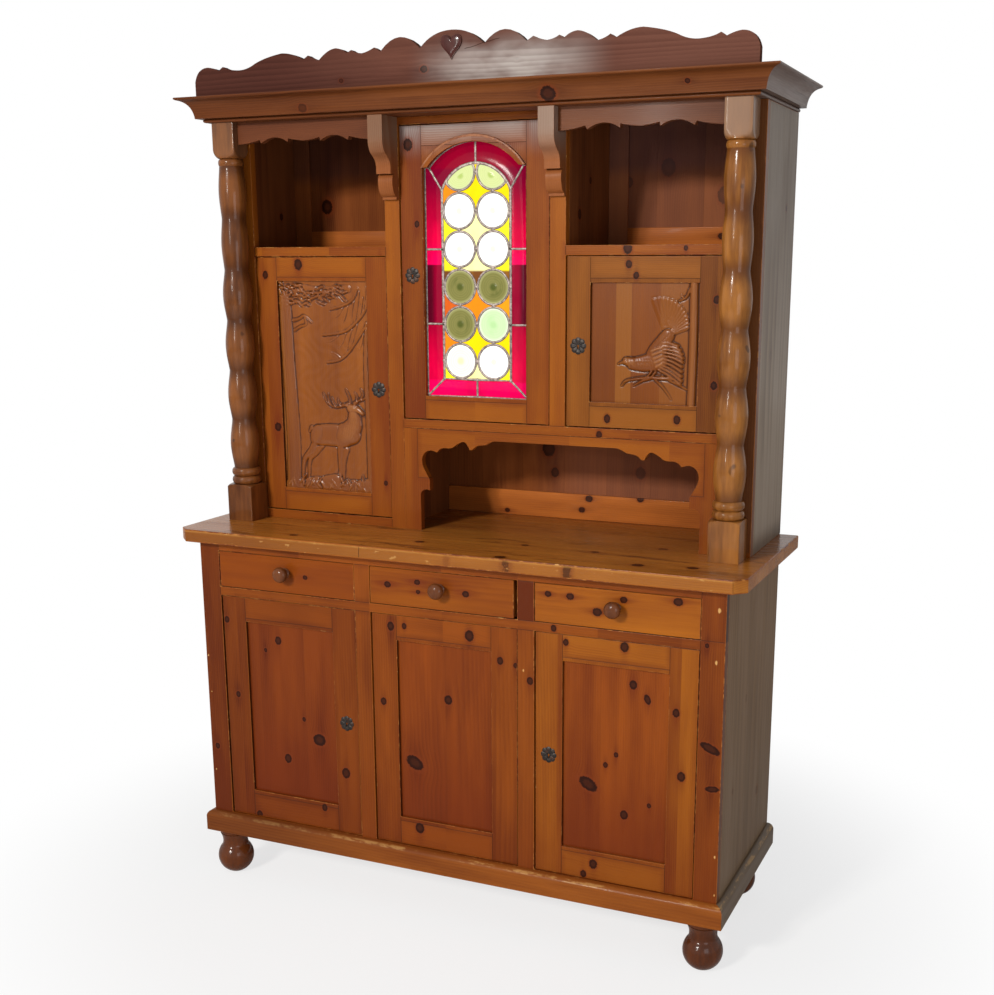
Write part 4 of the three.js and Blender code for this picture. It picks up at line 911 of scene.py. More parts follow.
def make_columns():
    # share of the painted reflection of the varnish on each column's top block
    top_sheen = {"left": 0.2, "right": 0.75}
    tones = {"left": (tone(132, 78, 36), tone(70, 36, 16)), "right": (tone(164, 106, 47), tone(90, 48, 19))}
    for side, share in top_sheen.items():
        x0, x1, y0, y1, z0, z1 = span(f"column_{side}")
        middle = (z0 + z1) / 2
        centre = ((x0 + x1) / 2, (y0 + y1) / 2)

        def square(height):
            if z0 + 0.1 < height < z1 - 0.09:
                return None
            return COLUMN_HALF_BLOCK if height < middle else COLUMN_HALF_TOP

        light, dark = tones[side]
        shaft_base = z0 + COLUMN_BLOCK + 2 * COLUMN_RING
        top_block = z1 - COLUMN_TOP_BLOCK
        material = turned_finish(f"column_{side}_finish", light, dark, 0.24, (top_block, share),
                                 (shaft_base, top_block - COLUMN_TOP_RING, COLUMN_BULGES))
        shape = loft(turned_loops(column_profile(z0, z1), COLUMN_SIDES, centre, square))
        make_piece(f"column_{side}_turning", shape, "carcass", material,
                   (f"column_{side}",))


def make_knobs():
    material = turned_finish("knob_finish", tone(118, 66, 32), tone(74, 38, 19), 0.2)
    turning = ((0.55, 0.0), (0.66, 0.02), (0.66, 0.07), (0.5, 0.12), (0.44, 0.2), (0.43, 0.27), (0.5, 0.34),
               (0.68, 0.41), (0.85, 0.48), (0.96, 0.56), (1.0, 0.65), (0.98, 0.74), (0.9, 0.83),
               (0.74, 0.91), (0.5, 0.965), (0.2, 1.0))
    for bay in ("left", "centre", "right"):
        name = f"drawer_knob_{bay}"
        x0, x1, y0, y1, z0, z1 = span(name)
        radius = (x1 - x0) / 2
        reach = y1 - y0
        standing = turned_loops([(radius * r, reach * h) for r, h in turning], TURNED_SIDES, (0.0, 0.0))
        loops = [[((x0 + x1) / 2 + x, y1 - h, (z0 + z1) / 2 + y) for x, y, h in loop] for loop in standing]
        make_piece(f"drawer_{bay}_knob_turning", loft(loops), f"drawer_{bay}", material,
                   (name,))


# Mouldings: one section run round the front and both sides, each run its own board, mitred
def mitred_runs(name, section, half, front, back, materials, node):
    corners = {
        "front": (lambda out: (-half - out, front - out), lambda out: (half + out, front - out)),
        "right": (lambda out: (half + out, front - out), lambda out: (half + out, back)),
        "left": (lambda out: (-half - out, back), lambda out: (-half - out, front - out)),
    }
    for side, ends in corners.items():
        loops = [[(*end(out), up) for out, up in section] for end in ends]
        shape = loft(loops, turned_over=True)
        piece = make_piece(f"{name}_{side}", shape, "carcass", materials[side])
        if side == "front":
            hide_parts(node)


def darker_to_the_left(finish, colour, grain):
    """Darker towards the left end."""
    return mix(finish.x.smooth(0.0, -0.6) * 0.6, colour, streaked(grain, tone(92, 47, 22), tone(64, 30, 14)))


def make_plinth():
    _, x1, y0, y1, z0, z1 = span("plinth_moulding")
    out = 0.018
    half = x1 - out
    front = y0 + out
    step = 0.002
    section = [(FIT, z0), (out - 0.001, z0), (out, z0 + 0.001)]
    round_radius = out - step
    for share in shares(12, 0):
        angle = math.pi / 2 * share
        section.append((step + round_radius * math.cos(angle), z1 - round_radius * (1 - math.sin(angle))))
    section.append((FIT, z1))
    worn = ((z1 - 0.010, z1 - 0.003),)
    light, dark = tone(150, 84, 31), tone(104, 49, 18)
    across = dict(plank=0.5, wear=worn)
    materials = {
        "front": pine("plinth_pine", light, dark, axes="zyx", paint=darker_to_the_left, **across),
        "left": pine("plinth_left_pine", light, dark, axes="zxy", **across),
        # the right end: greyish, partly a painted reflection of the varnish as on the sides
        "right": pine("plinth_right_pine", SHEEN_GREY_OLIVE, SHEEN_GREY_BROWN, axes="zxy", **across),
    }
    mitred_runs("plinth", section, half, front, y1, materials, "plinth_moulding")


def make_cornice():
    _, x1, y0, y1, z0, z1 = span("cornice")
    reach = 0.050
    band = 0.022
    bead = 0.0085
    half = x1 - reach
    front = y0 + reach
    fillet = z1 - 0.006
    section = [(-band, z0), (-bead / 2, z0)]
    for share in shares(12):
        angle = math.pi * (share - 0.5)
        section.append((bead / 2 * (math.cos(angle) - 1), z0 + bead / 2 * (math.sin(angle) + 1)))
    start = (0.014, z0 + bead + 0.0002)
    section.append(start)
    bend = (0.018, fillet - 0.004)
    end = (reach - 0.004, fillet)
    for share in shares(16):
        section.append(tuple((1 - share) ** 2 * a + 2 * share * (1 - share) * b + share ** 2 * c
                             for a, b, c in zip(start, bend, end)))
    section += [(reach - 0.0005, fillet + 0.0018), (reach, fillet + 0.0025), (reach, z1 - 0.001)]
    section += [(reach - 0.001, z1), (-band, z1)]
    light, dark = tone(119, 68, 34), tone(80, 40, 19)
    materials = {
        "front": pine("cornice_pine", light, dark, axes="zyx", plank=0.5, paint=darker_to_the_left,
                      knots=((1.991, 0.231, 0.017), (1.988, -0.402, 0.011), (2.0, 0.55, 0.006))),
        "left": pine("cornice_left_pine", light, dark, axes="zxy", plank=0.5),
        # the right end: greyish, partly a painted reflection of the varnish as on the sides
        "right": pine("cornice_right_pine", tone(116, 94, 82), tone(88, 68, 58), axes="zxy", plank=0.5),
    }
    mitred_runs("cornice", section, half, front, y1, materials, "cornice")
    inner = half - band - FIT
    board_piece("cornice_dust_board", (-inner, front + band + FIT, z0), (inner, y1, z0 + 0.016), PLAIN_BACK)


# Boards with eased edges
def board_piece(name, low, high, material, ease=EASED_EDGE):
    """A board whose long edges are rounded by hand tools: a loft of eased rectangles."""
    sizes = [high[i] - low[i] for i in range(3)]
    ease = min(ease, min(sizes) / 3)
    loops = []
    for depth, inset in ((0.0, ease), (ease * 0.3, ease * 0.3), (ease, 0.0), (sizes[1] - ease, 0.0),
                         (sizes[1] - ease * 0.3, ease * 0.3), (sizes[1], ease)):
        x0, x1 = low[0] + inset, high[0] - inset
        z0, z1 = low[2] + inset, high[2] - inset
        y = low[1] + depth
        loop = []
        for corner_x, corner_z, turn in ((x1, z0, -90), (x1, z1, 0), (x0, z1, 90), (x0, z0, 180)):
            centre_x = corner_x - math.copysign(ease, corner_x - (x0 + x1) / 2)
            centre_z = corner_z - math.copysign(ease, corner_z - (z0 + z1) / 2)
            for i in range(3):
                angle = math.radians(turn + 45 * i)
                loop.append((centre_x + ease * math.cos(angle), y, centre_z + ease * math.sin(angle)))
        loops.append(loop)
    return make_piece(name, loft(loops, turned_over=True), "carcass", material, angle=50)


PLAIN_BACK = pine("niche_back_pine", tone(156, 90, 42), tone(106, 54, 27), plank=0.3, gloss=0.45, coat=0.0,
                  paint=painted_niche_shadow)


def make_niche_backs():
    """Frame members of the panelled back that show in the open niches."""
    back_front = span("hutch_back")[2] - FIT
    thickness = 0.009
    rail = pine("niche_rail_pine", tone(186, 106, 44), tone(126, 64, 28), axes="zyx", plank=0.6, gloss=0.4,
                knots=((1.022, 0.195, 0.009), (0.991, 0.175, 0.008), (0.975, -0.041, 0.007),
                       (1.03, 0.337, 0.008), (1.69, 0.53, 0.008)))
    stile = 0.050
    inner_side = span("hutch_side_left")[1] + FIT
    divider = span("hutch_divider_left")[0] - FIT
    floor_top = span("niche_floor_left")[5] + FIT
    ceiling = span("hutch_back")[5]
    rail_top, low_rail_top = 1.712, 1.032
    for side, sign in (("left", -1), ("right", 1)):
        edges = sorted((sign * abs(inner_side), sign * abs(divider)))
        x0, x1 = edges
        for place, low_x in (("outer", x0), ("inner", x1 - stile)):
            board_piece(f"niche_{side}_back_stile_{place}", (low_x, back_front - thickness, floor_top),
                        (low_x + stile, back_front, ceiling), PLAIN_BACK)
        board_piece(f"niche_{side}_back_rail", (x0 + stile + FIT, back_front - thickness, floor_top),
                    (x1 - stile - FIT, back_front, rail_top), rail)
    low_x = span("hutch_divider_left")[1] + FIT
    high_x = span("hutch_side_right")[0] - FIT
    counter_top = span("countertop")[5] + FIT
    board_piece("niche_low_back_rail", (low_x, back_front - thickness, counter_top),
                (high_x, back_front, low_rail_top), rail)


# Keyhole plates: a domed rosette of eight petals with a beaded eye, pierced for the key
def black_iron():
    finish = Finish("black_iron")
    grit = noise(finish.place, 300.0, 3.0)
    rust = noise(finish.place, 70.0, 3.0).smooth(0.52, 0.7)
    colour = mix(rust * 0.5, mix(grit, tone(26, 24, 24), tone(70, 64, 60)), tone(92, 58, 40))
    finish.set(base_color=colour, roughness=grit * 0.3 + 0.28, metallic=0.85)
    finish.bump(grit, 0.0005, 0.6)
    return finish.material


def make_escutcheons():
    iron = black_iron()
    sides = 96
    petals = 8
    for body in ("base_door_left", "base_door_right", "hutch_door_left", "hutch_door_right", "glass_door"):
        node = body + "_escutcheon"
        x0, x1, y0, y1, z0, z1 = span(node)
        centre_x, centre_z = (x0 + x1) / 2, (z0 + z1) / 2
        radius = (x1 - x0) / 2
        thick = y1 - y0
        hole = 0.0026
        loops = []
        for out, raised in ((0.0, 0.0), (0.0, 0.55), (0.07, 0.95), (0.15, 0.95), (0.2, 0.5), (0.3, 0.55),
                            (0.55, 0.95), (0.8, 0.8), (0.95, 0.4), (1.0, 0.25), (1.0, 0.0)):
            loop = []
            for angle in turns(sides):
                lobe = abs(math.cos(petals * angle / 2))
                slot = max(0.0, -math.sin(angle)) ** 24 * 0.0045
                inner = hole + slot
                outer = radius * (1 - 0.16 * (1 - lobe) ** 1.5)
                reach = inner + (outer - inner) * out
                groove = 0.35 * (1 - lobe) ** 3 if 0.25 < out < 0.97 else 0.0
                height = thick * max(raised - groove, 0.0 if raised == 0.0 else 0.12)
                loop.append((centre_x + reach * math.cos(angle), y1 - height,
                             centre_z + reach * math.sin(angle)))
            loops.append(loop)
        loops.append(loops[0])
        weld(make_piece(node + "_rosette", loft(loops, closed_ends=False), body, iron, (node,)))


def make_heart():
    """A pillowed heart over the one that stands out of the crest board."""
    relief = 0.004
    width, height, rise = 0.0524, 0.0544, 0.0478
    front = span("crest_board")[2] + relief
    base = span("crest_board")[4] + rise
    half = []
    corners = (((0, 0.78), (0.04, 0.98), (0.5, 1.12), (0.5, 0.72)),
               ((0.5, 0.72), (0.5, 0.44), (0.14, 0.3), (0, 0)))
    for a, b, c, d in corners:
        for t in shares(16, 0)[:-1]:
            weights = ((1 - t) ** 3, 3 * t * (1 - t) ** 2, 3 * t * t * (1 - t), t ** 3)
            half.append(tuple(sum(w * point[axis] for w, point in zip(weights, (a, b, c, d)))
                              for axis in (0, 1)))
    outline = half + [(0.0, 0.0)] + [(-across, up) for across, up in reversed(half[1:])]
    centre = 0.60
    loops = []
    for share, out in ((1.0, 0.0), (1.0, relief * 0.7), (0.96, relief + 0.0005), (0.88, relief + 0.0014),
                       (0.74, relief + 0.0022), (0.55, relief + 0.0026), (0.3, relief + 0.0027),
                       (0.06, relief + 0.0026)):
        loops.append([(width * across * share, front - out, base + height * (centre + (up - centre) * share))
                      for across, up in outline])
    material = turned_finish("heart_finish", tone(84, 42, 36), tone(52, 24, 20), 0.2)
    make_piece("crest_heart", loft(loops), "carcass", material)


make_feet()
make_columns()
make_knobs()
make_heart()
make_plinth()
make_cornice()
make_niche_backs()
make_escutcheons()


# Glass door: a hood, red border panes, coloured fillers, bull's-eye roundels and rounded came
GLASS_HALF = 0.136
GLASS_ARCH_HALF = 0.124
GLASS_ARCH_RISE = 0.060
INNER_HALF = 0.090
INNER_RISE = 0.061
CAME_WIDTH = 0.006
THIN_CAME = 0.005
INNER_CAME = 0.0065
ROUND_CAME = 0.0058
CAME_SHOULDER = 0.0012
ROUNDEL_ROWS = 6
ROUNDEL_PITCH = 0.089
ROUNDEL_RADIUS = 0.0415
CAME_BOX = span("lead_came")
GLASS_SILL = CAME_BOX[4] + 0.007
GLASS_SPRING = CAME_BOX[5] - 0.067
INNER_SILL = GLASS_SILL + 0.043
INNER_SPRING = GLASS_SPRING - 0.052
CAME_FRONT = CAME_BOX[2]
CAME_BACK = CAME_BOX[3]
PANE_FRONT = span("leaded_glass")[2]
PANE_BACK = span("leaded_glass")[3]
REAR_RELIEF = 0.8


def circle_of(half, rise, spring):
    """Centre height and radius of the arc that rises over a half width."""
    radius = (half * half + rise * rise) / (2 * rise)
    return spring + rise - radius, radius


def arch_points(half, rise, spring, steps):
    """From the right spring point over the crown to the left one."""
    centre, radius = circle_of(half, rise, spring)
    start = math.atan2(spring - centre, half)
    return [(radius * math.cos(angle), centre + radius * math.sin(angle))
            for angle in (start + (math.pi - 2 * start) * share for share in shares(steps, 0))]


def arched_loop(half, sill, spring, arch_half, rise, steps=32):
    """The outline of an arched opening, anticlockwise from its lower left corner."""
    loop = [(-half, sill), (0.0, sill), (half, sill), (half, (sill + spring) / 2), (half, spring)]
    loop += arch_points(arch_half, rise, spring, steps)
    loop += [(-half, spring), (-half, (sill + spring) / 2)]
    return loop


def upright(loop, y):
    return [(x, y, z) for x, z in loop]


def came_strip(path, closed, width=CAME_WIDTH):
    """A rounded lead strip along a path in the plane of the glass."""
    half = width / 2
    shoulder = CAME_FRONT + CAME_SHOULDER
    bend = CAME_FRONT + CAME_SHOULDER / 3
    section = ((-half, CAME_BACK), (-half, shoulder), (-half * 0.7, bend), (0.0, CAME_FRONT),
               (half * 0.7, bend), (half, shoulder), (half, CAME_BACK))
    count = len(path)
    loops = []
    for i, (x, z) in enumerate(path):
        before = path[i - 1] if closed or i > 0 else path[i]
        after = path[(i + 1) % count] if closed or i < count - 1 else path[i]
        way = Vector((after[0] - before[0], after[1] - before[1]))
        way.normalize()
        loops.append([(x - way.y * out, y, z + way.x * out) for out, y in section])
    if closed:
        loops.append(loops[0])
    return loft(loops, closed_ends=not closed)


def merge(parts):
    points = []
    faces = []
    for part_points, part_faces in parts:
        start = len(points)
        points += part_points
        faces += [tuple(start + corner for corner in face) for face in part_faces]
    return points, faces


def behind(part, front):
    """The same relief, a little flatter, on the back of the glass, where the door is seen open."""
    points, faces = part
    return [(x, PANE_BACK + (front - y) * REAR_RELIEF, z) for x, y, z in points], reversed_faces(faces)


def roundel_outline(x, z, radius, steps=48):
    """A circle, cut where it would pass the arch of the inner came."""
    centre, arch = circle_of(INNER_HALF, INNER_RISE, INNER_SPRING)
    outline = []
    for angle in turns(steps):
        way = Vector((math.cos(angle), math.sin(angle)))
        start = Vector((x, z - centre))
        along = start.dot(way)
        limit = -along + math.sqrt(max(along * along - start.length_squared + (arch - 0.001) ** 2, 0.0))
        reach = min(radius, limit) if z > INNER_SPRING - radius else radius
        outline.append((x + reach * way.x, z + reach * way.y))
    return outline


def roundel_places():
    """Rows counted from the top, given from the lowest up."""
    for row in range(ROUNDEL_ROWS):
        for column, x in (("left", -ROUNDEL_PITCH / 2), ("right", ROUNDEL_PITCH / 2)):
            yield ROUNDEL_ROWS - row, column, x, INNER_SILL + ROUNDEL_PITCH * (row + 0.5)


def glass_finish(name, colour_of, glow, ripple=40.0):
    """Glowing glass: its own colour given off as emission, painted light that stands in for the light coming
    through it, under a glossy skin.
    """
    finish = Finish(name)
    streaks = noise(joined(finish.x * 30, finish.y * 30, finish.z * 12), 1.0, 3.0)
    colour = colour_of(finish, streaks)
    finish.set(base_color=mix(0.65, colour, tone(10, 6, 4)), roughness=0.16, specular_ior_level=0.1,
               emission_color=colour, emission_strength=glow)
    finish.bump(noise(finish.place, ripple, 2.0), 0.0012, 0.3)
    return finish.material


def bands(value, steps):
    """A colour that changes with height: the first colour, then (height, colour[, softness]) upwards."""
    colour = steps[0]
    for height, above, *softness in steps[1:]:
        soft = softness[0] if softness else 0.003
        colour = mix(value.smooth(height - soft, height + soft), colour, above)
    return colour


SHELF_SHADE_LOW = 1.478
SHELF_SHADE_HIGH = 1.622
RED_DEEP = tone(112, 0, 38)
RED_DARK = tone(84, 4, 28)
RED_BRIGHT = tone(232, 0, 66)
RED_PINK = tone(255, 0, 92)


# Painted light and shade: the red border brightens and darkens in bands up its height, takes a painted shadow
# of the shelf behind it from SHELF_SHADE_LOW to SHELF_SHADE_HIGH, darkest at its sides there, and is darker
# in the arch.
def red_colour(finish, streaks):
    side = bands(finish.z, (RED_PINK, (1.345, RED_BRIGHT), (1.41, tone(200, 0, 54), 0.05),
                            (1.48, tone(150, 0, 42), 0.04)))
    shaded = mix(abs(finish.x).smooth(0.108, 0.124), tone(150, 0, 44), RED_DARK)
    upper = bands(finish.z, (RED_PINK, (1.655, tone(236, 0, 66), 0.03), (1.72, tone(180, 0, 50), 0.05),
                             (1.79, tone(128, 0, 42), 0.04)))
    side = mix(finish.z.smooth(SHELF_SHADE_LOW, SHELF_SHADE_LOW + 0.004), side, shaded)
    side = mix(finish.z.smooth(SHELF_SHADE_HIGH, SHELF_SHADE_HIGH + 0.004), side, upper)
    arch = finish.z.smooth(1.842, 1.852)
    colour = mix(arch, side, tone(146, 0, 38))
    return mix(streaks.smooth(0.35, 0.75) * 0.3, colour, RED_DEEP)


def filler_colour(finish, streaks):
    yellow = tone(255, 220, 0)
    pale = tone(255, 252, 176)
    orange = tone(247, 136, 18)
    deep = tone(212, 88, 26)
    lemon = tone(250, 240, 40)
    # the brown band from 1.572 to 1.61 is a painted shadow of the shelf behind the glass
    middle = bands(finish.z, (pale, (1.394, yellow), (1.483, orange), (1.572, tone(120, 70, 30)),
                              (1.61, pale), (1.75, yellow)))
    left = bands(finish.z, (lemon, (1.394, orange), (1.483, deep), (1.572, tone(110, 60, 30)), (1.61, lemon),
                            (1.75, orange)))
    right = bands(finish.z, (lemon, (1.394, yellow), (1.483, tone(250, 152, 24)), (1.572, tone(120, 70, 30)),
                             (1.61, lemon), (1.75, yellow)))
    colour = mix(finish.x.smooth(-0.044, -0.040), left, mix(finish.x.smooth(0.040, 0.044), middle, right))
    return mix(streaks.smooth(0.4, 0.8) * 0.25, colour, tone(236, 170, 20))


def roundel_colour(rim, body, eye):
    """Spun glass: rings round a thick eye, read from the share of the radius at each point."""
    def colour_of(finish, streaks):
        share = finish.stored("ring_share")
        swirl = (share * 46 + streaks * 9).math("SINE") * 0.5 + 0.5
        colour = mix(share.smooth(0.78, 0.95) * 0.8, body, rim)
        colour = mix(swirl * share.smooth(0.1, 0.5) * 0.22, colour, eye)
        colour = mix((streaks + share * 0.2).smooth(0.62, 0.74) * share.smooth(0.75, 0.4) * 0.5, colour, eye)
        return mix(share.smooth(0.34, 0.1) * 0.9, colour, eye)
    return colour_of


def make_slab(name, outer, inner, material):
    """A pane with a hole of its own outline: two loops of as many points each."""
    loops = [upright(outer, PANE_FRONT), upright(inner, PANE_FRONT), upright(inner, PANE_BACK),
             upright(outer, PANE_BACK), upright(outer, PANE_FRONT)]
    piece = make_piece(name, loft(loops, closed_ends=False), "glass_door", material)
    weld(piece)
    return piece


def make_glass():
    outer = arched_loop(GLASS_HALF + 0.005, GLASS_SILL - 0.005, GLASS_SPRING, GLASS_HALF + 0.005,
                        GLASS_ARCH_RISE + 0.012)
    inner = arched_loop(INNER_HALF, INNER_SILL, INNER_SPRING, INNER_HALF, INNER_RISE)
    # glow values: painted light given off by the border and filler glass
    border = make_slab("glass_red_border", outer, inner, glass_finish("red_glass", red_colour, 0.85))
    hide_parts("leaded_glass")
    fill = arched_loop(INNER_HALF - 0.0002, INNER_SILL + 0.0002, INNER_SPRING, INNER_HALF - 0.0002,
                       INNER_RISE)
    make_piece("glass_fillers", loft([upright(fill, PANE_FRONT), upright(fill, PANE_BACK)]), "glass_door",
               glass_finish("filler_glass", filler_colour, 0.9))


def roundel_finishes():
    white = tone(255, 255, 250)
    # the last number of each look is the glow of its painted light
    looks = {
        "clear": (white, white, tone(214, 232, 196), 1.05),
        "sage": (tone(206, 214, 170), tone(206, 216, 150), tone(168, 190, 100), 0.95),
        "olive": (tone(186, 184, 128), tone(134, 130, 72), tone(78, 88, 34), 0.85),
        "mint": (tone(236, 246, 222), tone(200, 228, 176), tone(176, 214, 150), 0.95),
        "cream": (white, tone(250, 252, 220), tone(222, 232, 170), 1.0),
    }
    return {kind: glass_finish(f"roundel_{kind}", roundel_colour(*tones), glow)
            for kind, (*tones, glow) in looks.items()}


def make_roundels():
    """Bull's-eyes, each a dome with rings on both sides of the glass."""
    finishes = roundel_finishes()
    kinds = {1: ("sage", "sage"), 2: ("clear", "clear"), 3: ("clear", "clear"), 4: ("olive", "olive"),
             5: ("olive", "mint"), 6: ("cream", "clear")}
    domes = ((0.02, 0.9), (0.12, 0.86), (0.22, 0.55), (0.32, 0.35), (0.5, 0.3), (0.7, 0.22), (0.9, 0.1),
             (1.0, 0.0))
    for row, column, x, z in roundel_places():
        outline = roundel_outline(x, z, ROUNDEL_RADIUS - 0.001)
        middle = Vector([sum(places) / len(outline) for places in zip(*outline)])
        centre = middle if row == 1 else Vector((x, z))
        loops = [upright(outline, PANE_FRONT - 0.0001)]
        rings = [1.0]
        for share, rise in reversed(domes):
            loop = [tuple(centre + (Vector(point) - centre) * share) for point in outline]
            loops.append(upright(loop, PANE_FRONT - 0.0003 - 0.0018 * rise))
            rings.append(share)
        dome = loft(loops, turned_over=True)
        shape = merge([dome, behind(dome, PANE_FRONT)])
        finish = finishes[kinds[row][0 if column == "left" else 1]]
        piece = make_piece(f"roundel_{row}_{column}", shape, "glass_door", finish)
        ring = piece.data.attributes.new("ring_share", "FLOAT", "POINT")
        ring.data.foreach_set("value", [share for share in rings * 2 for _ in outline])


def make_came():
    crown = INNER_SPRING + INNER_RISE
    outer = arched_loop(GLASS_HALF, GLASS_SILL, GLASS_SPRING, GLASS_ARCH_HALF, GLASS_ARCH_RISE)
    inner = arched_loop(INNER_HALF, INNER_SILL, INNER_SPRING, INNER_HALF, INNER_RISE)
    strips = [
        came_strip(outer, True),
        came_strip(inner, True, INNER_CAME),
        came_strip([(0.0, GLASS_SILL), (0.0, INNER_SILL)], False, THIN_CAME),
        came_strip([(0.0, crown), (0.0, GLASS_SPRING + GLASS_ARCH_RISE)], False, THIN_CAME),
    ]
    joints = [(0.0, INNER_SILL), (0.0, crown)]
    for sign in (-1, 1):
        sill = [(sign * GLASS_HALF, GLASS_SILL), (sign * INNER_HALF, INNER_SILL)]
        spring = [(sign * GLASS_ARCH_HALF, GLASS_SPRING), (sign * INNER_HALF, INNER_SPRING)]
        strips += [came_strip(sill, False, THIN_CAME), came_strip(spring, False, THIN_CAME)]
        joints += [(sign * INNER_HALF, INNER_SILL), (sign * INNER_HALF, INNER_SPRING)]
        for row in (1, 3):
            height = INNER_SILL + ROUNDEL_PITCH * (row + 0.5)
            bar = [(sign * GLASS_HALF, height), (sign * INNER_HALF, height)]
            strips.append(came_strip(bar, False, THIN_CAME))
            joints.append((sign * INNER_HALF, height))
    for row, column, x, z in roundel_places():
        strips.append(came_strip(roundel_outline(x, z, ROUNDEL_RADIUS), True, ROUND_CAME))
        if column == "left":
            joints.append((0.0, z))
        if row < ROUNDEL_ROWS:
            joints.append((x, z - ROUNDEL_PITCH / 2))
        if row > 1:
            joints.append((math.copysign(INNER_HALF, x), z))
    strips += [solder(x, z) for x, z in joints if abs(x) <= INNER_HALF]
    lead = Finish("lead")
    grain = noise(lead.place, 160.0, 3.0)
    colour = mix(grain.smooth(0.35, 0.7), tone(112, 100, 94), tone(168, 154, 146))
    lead.set(base_color=colour, roughness=grain * 0.3 + 0.3, metallic=0.5)
    lead.bump(grain, 0.0006, 0.5)
    shape = merge(strips + [behind(strip, CAME_BACK) for strip in strips])
    make_piece("lead_came_work", shape, "glass_door", lead.material, ("lead_came",))


def solder(x, z, radius=0.0042):
    """A flat bead of solder over a joint in the came."""
    loops = []
    for share, rise in ((1.0, 0.0), (0.95, 0.5), (0.7, 0.85), (0.35, 1.0)):
        loop = [(radius * share * math.cos(angle) + x, radius * share * math.sin(angle) + z)
                for angle in turns(14)]
        loops.append(upright(loop, CAME_FRONT + CAME_SHOULDER - 0.0017 * rise))
    return loft(loops, turned_over=True)


def make_hood():
    """The moulded hood over the glass: a step, a cove and a bead, swept round its arch."""
    door_front = span("glass_door_frame")[2] + 0.008
    outer_half, outer_rise = 0.1373, 0.0733
    inner_half, inner_rise = 0.1197, 0.0557
    outer = arch_points(outer_half, outer_rise, GLASS_SPRING, 48)
    inner = arch_points(inner_half, inner_rise, GLASS_SPRING, 48)
    section = ((0.0, -0.0005), (0.0, 0.0045), (0.1, 0.0052), (0.28, 0.0048), (0.42, 0.0052), (0.56, 0.0070),
               (0.62, 0.0079), (0.72, 0.0083), (0.86, 0.0083), (0.96, 0.0074), (1.0, 0.0055), (1.0, -0.0005))
    finish = Finish("hood_pine")
    streak = noise(finish.place, 60.0, 4.0, 0.7)
    high = (finish.y - (door_front - 0.0074)).smooth(0.0004, -0.0006)
    colour = mix(streak, tone(112, 52, 28), tone(70, 30, 18))
    colour = mix(high * streak.smooth(0.3, 0.6) * 0.7, colour, tone(178, 120, 84))
    finish.set(base_color=colour, roughness=streak * 0.2 + 0.3, coat_weight=0.12, coat_roughness=0.2,
               specular_ior_level=0.1)
    finish.bump(streak, 0.0005, 0.4)
    loops = []
    for (x0, z0), (x1, z1) in zip(inner, outer):
        loops.append([(x0 + (x1 - x0) * share, door_front - out, z0 + (z1 - z0) * share)
                      for share, out in section])
    make_piece("hood_moulding", loft(loops), "glass_door", finish.material)


make_glass()
make_roundels()
make_came()
make_hood()


# Carved panels: a height for each point of the panel's face, raised by rounded strokes
CARVING_STEP = 0.0015


def curved(points, steps=5):
    """A smooth line through the points."""
    padded = [points[0], *points, points[-1]]
    line = []
    for a, b, c, d in zip(padded, padded[1:], padded[2:], padded[3:]):
        for t in shares(steps, 0)[:-1]:
            line.append(tuple(0.5 * (2 * q + (r - p) * t + (2 * p - 5 * q + 4 * r - e) * t ** 2
                                     + (3 * q - p - 3 * r + e) * t ** 3) for p, q, r, e in zip(a, b, c, d)))
    return line + [points[-1]]


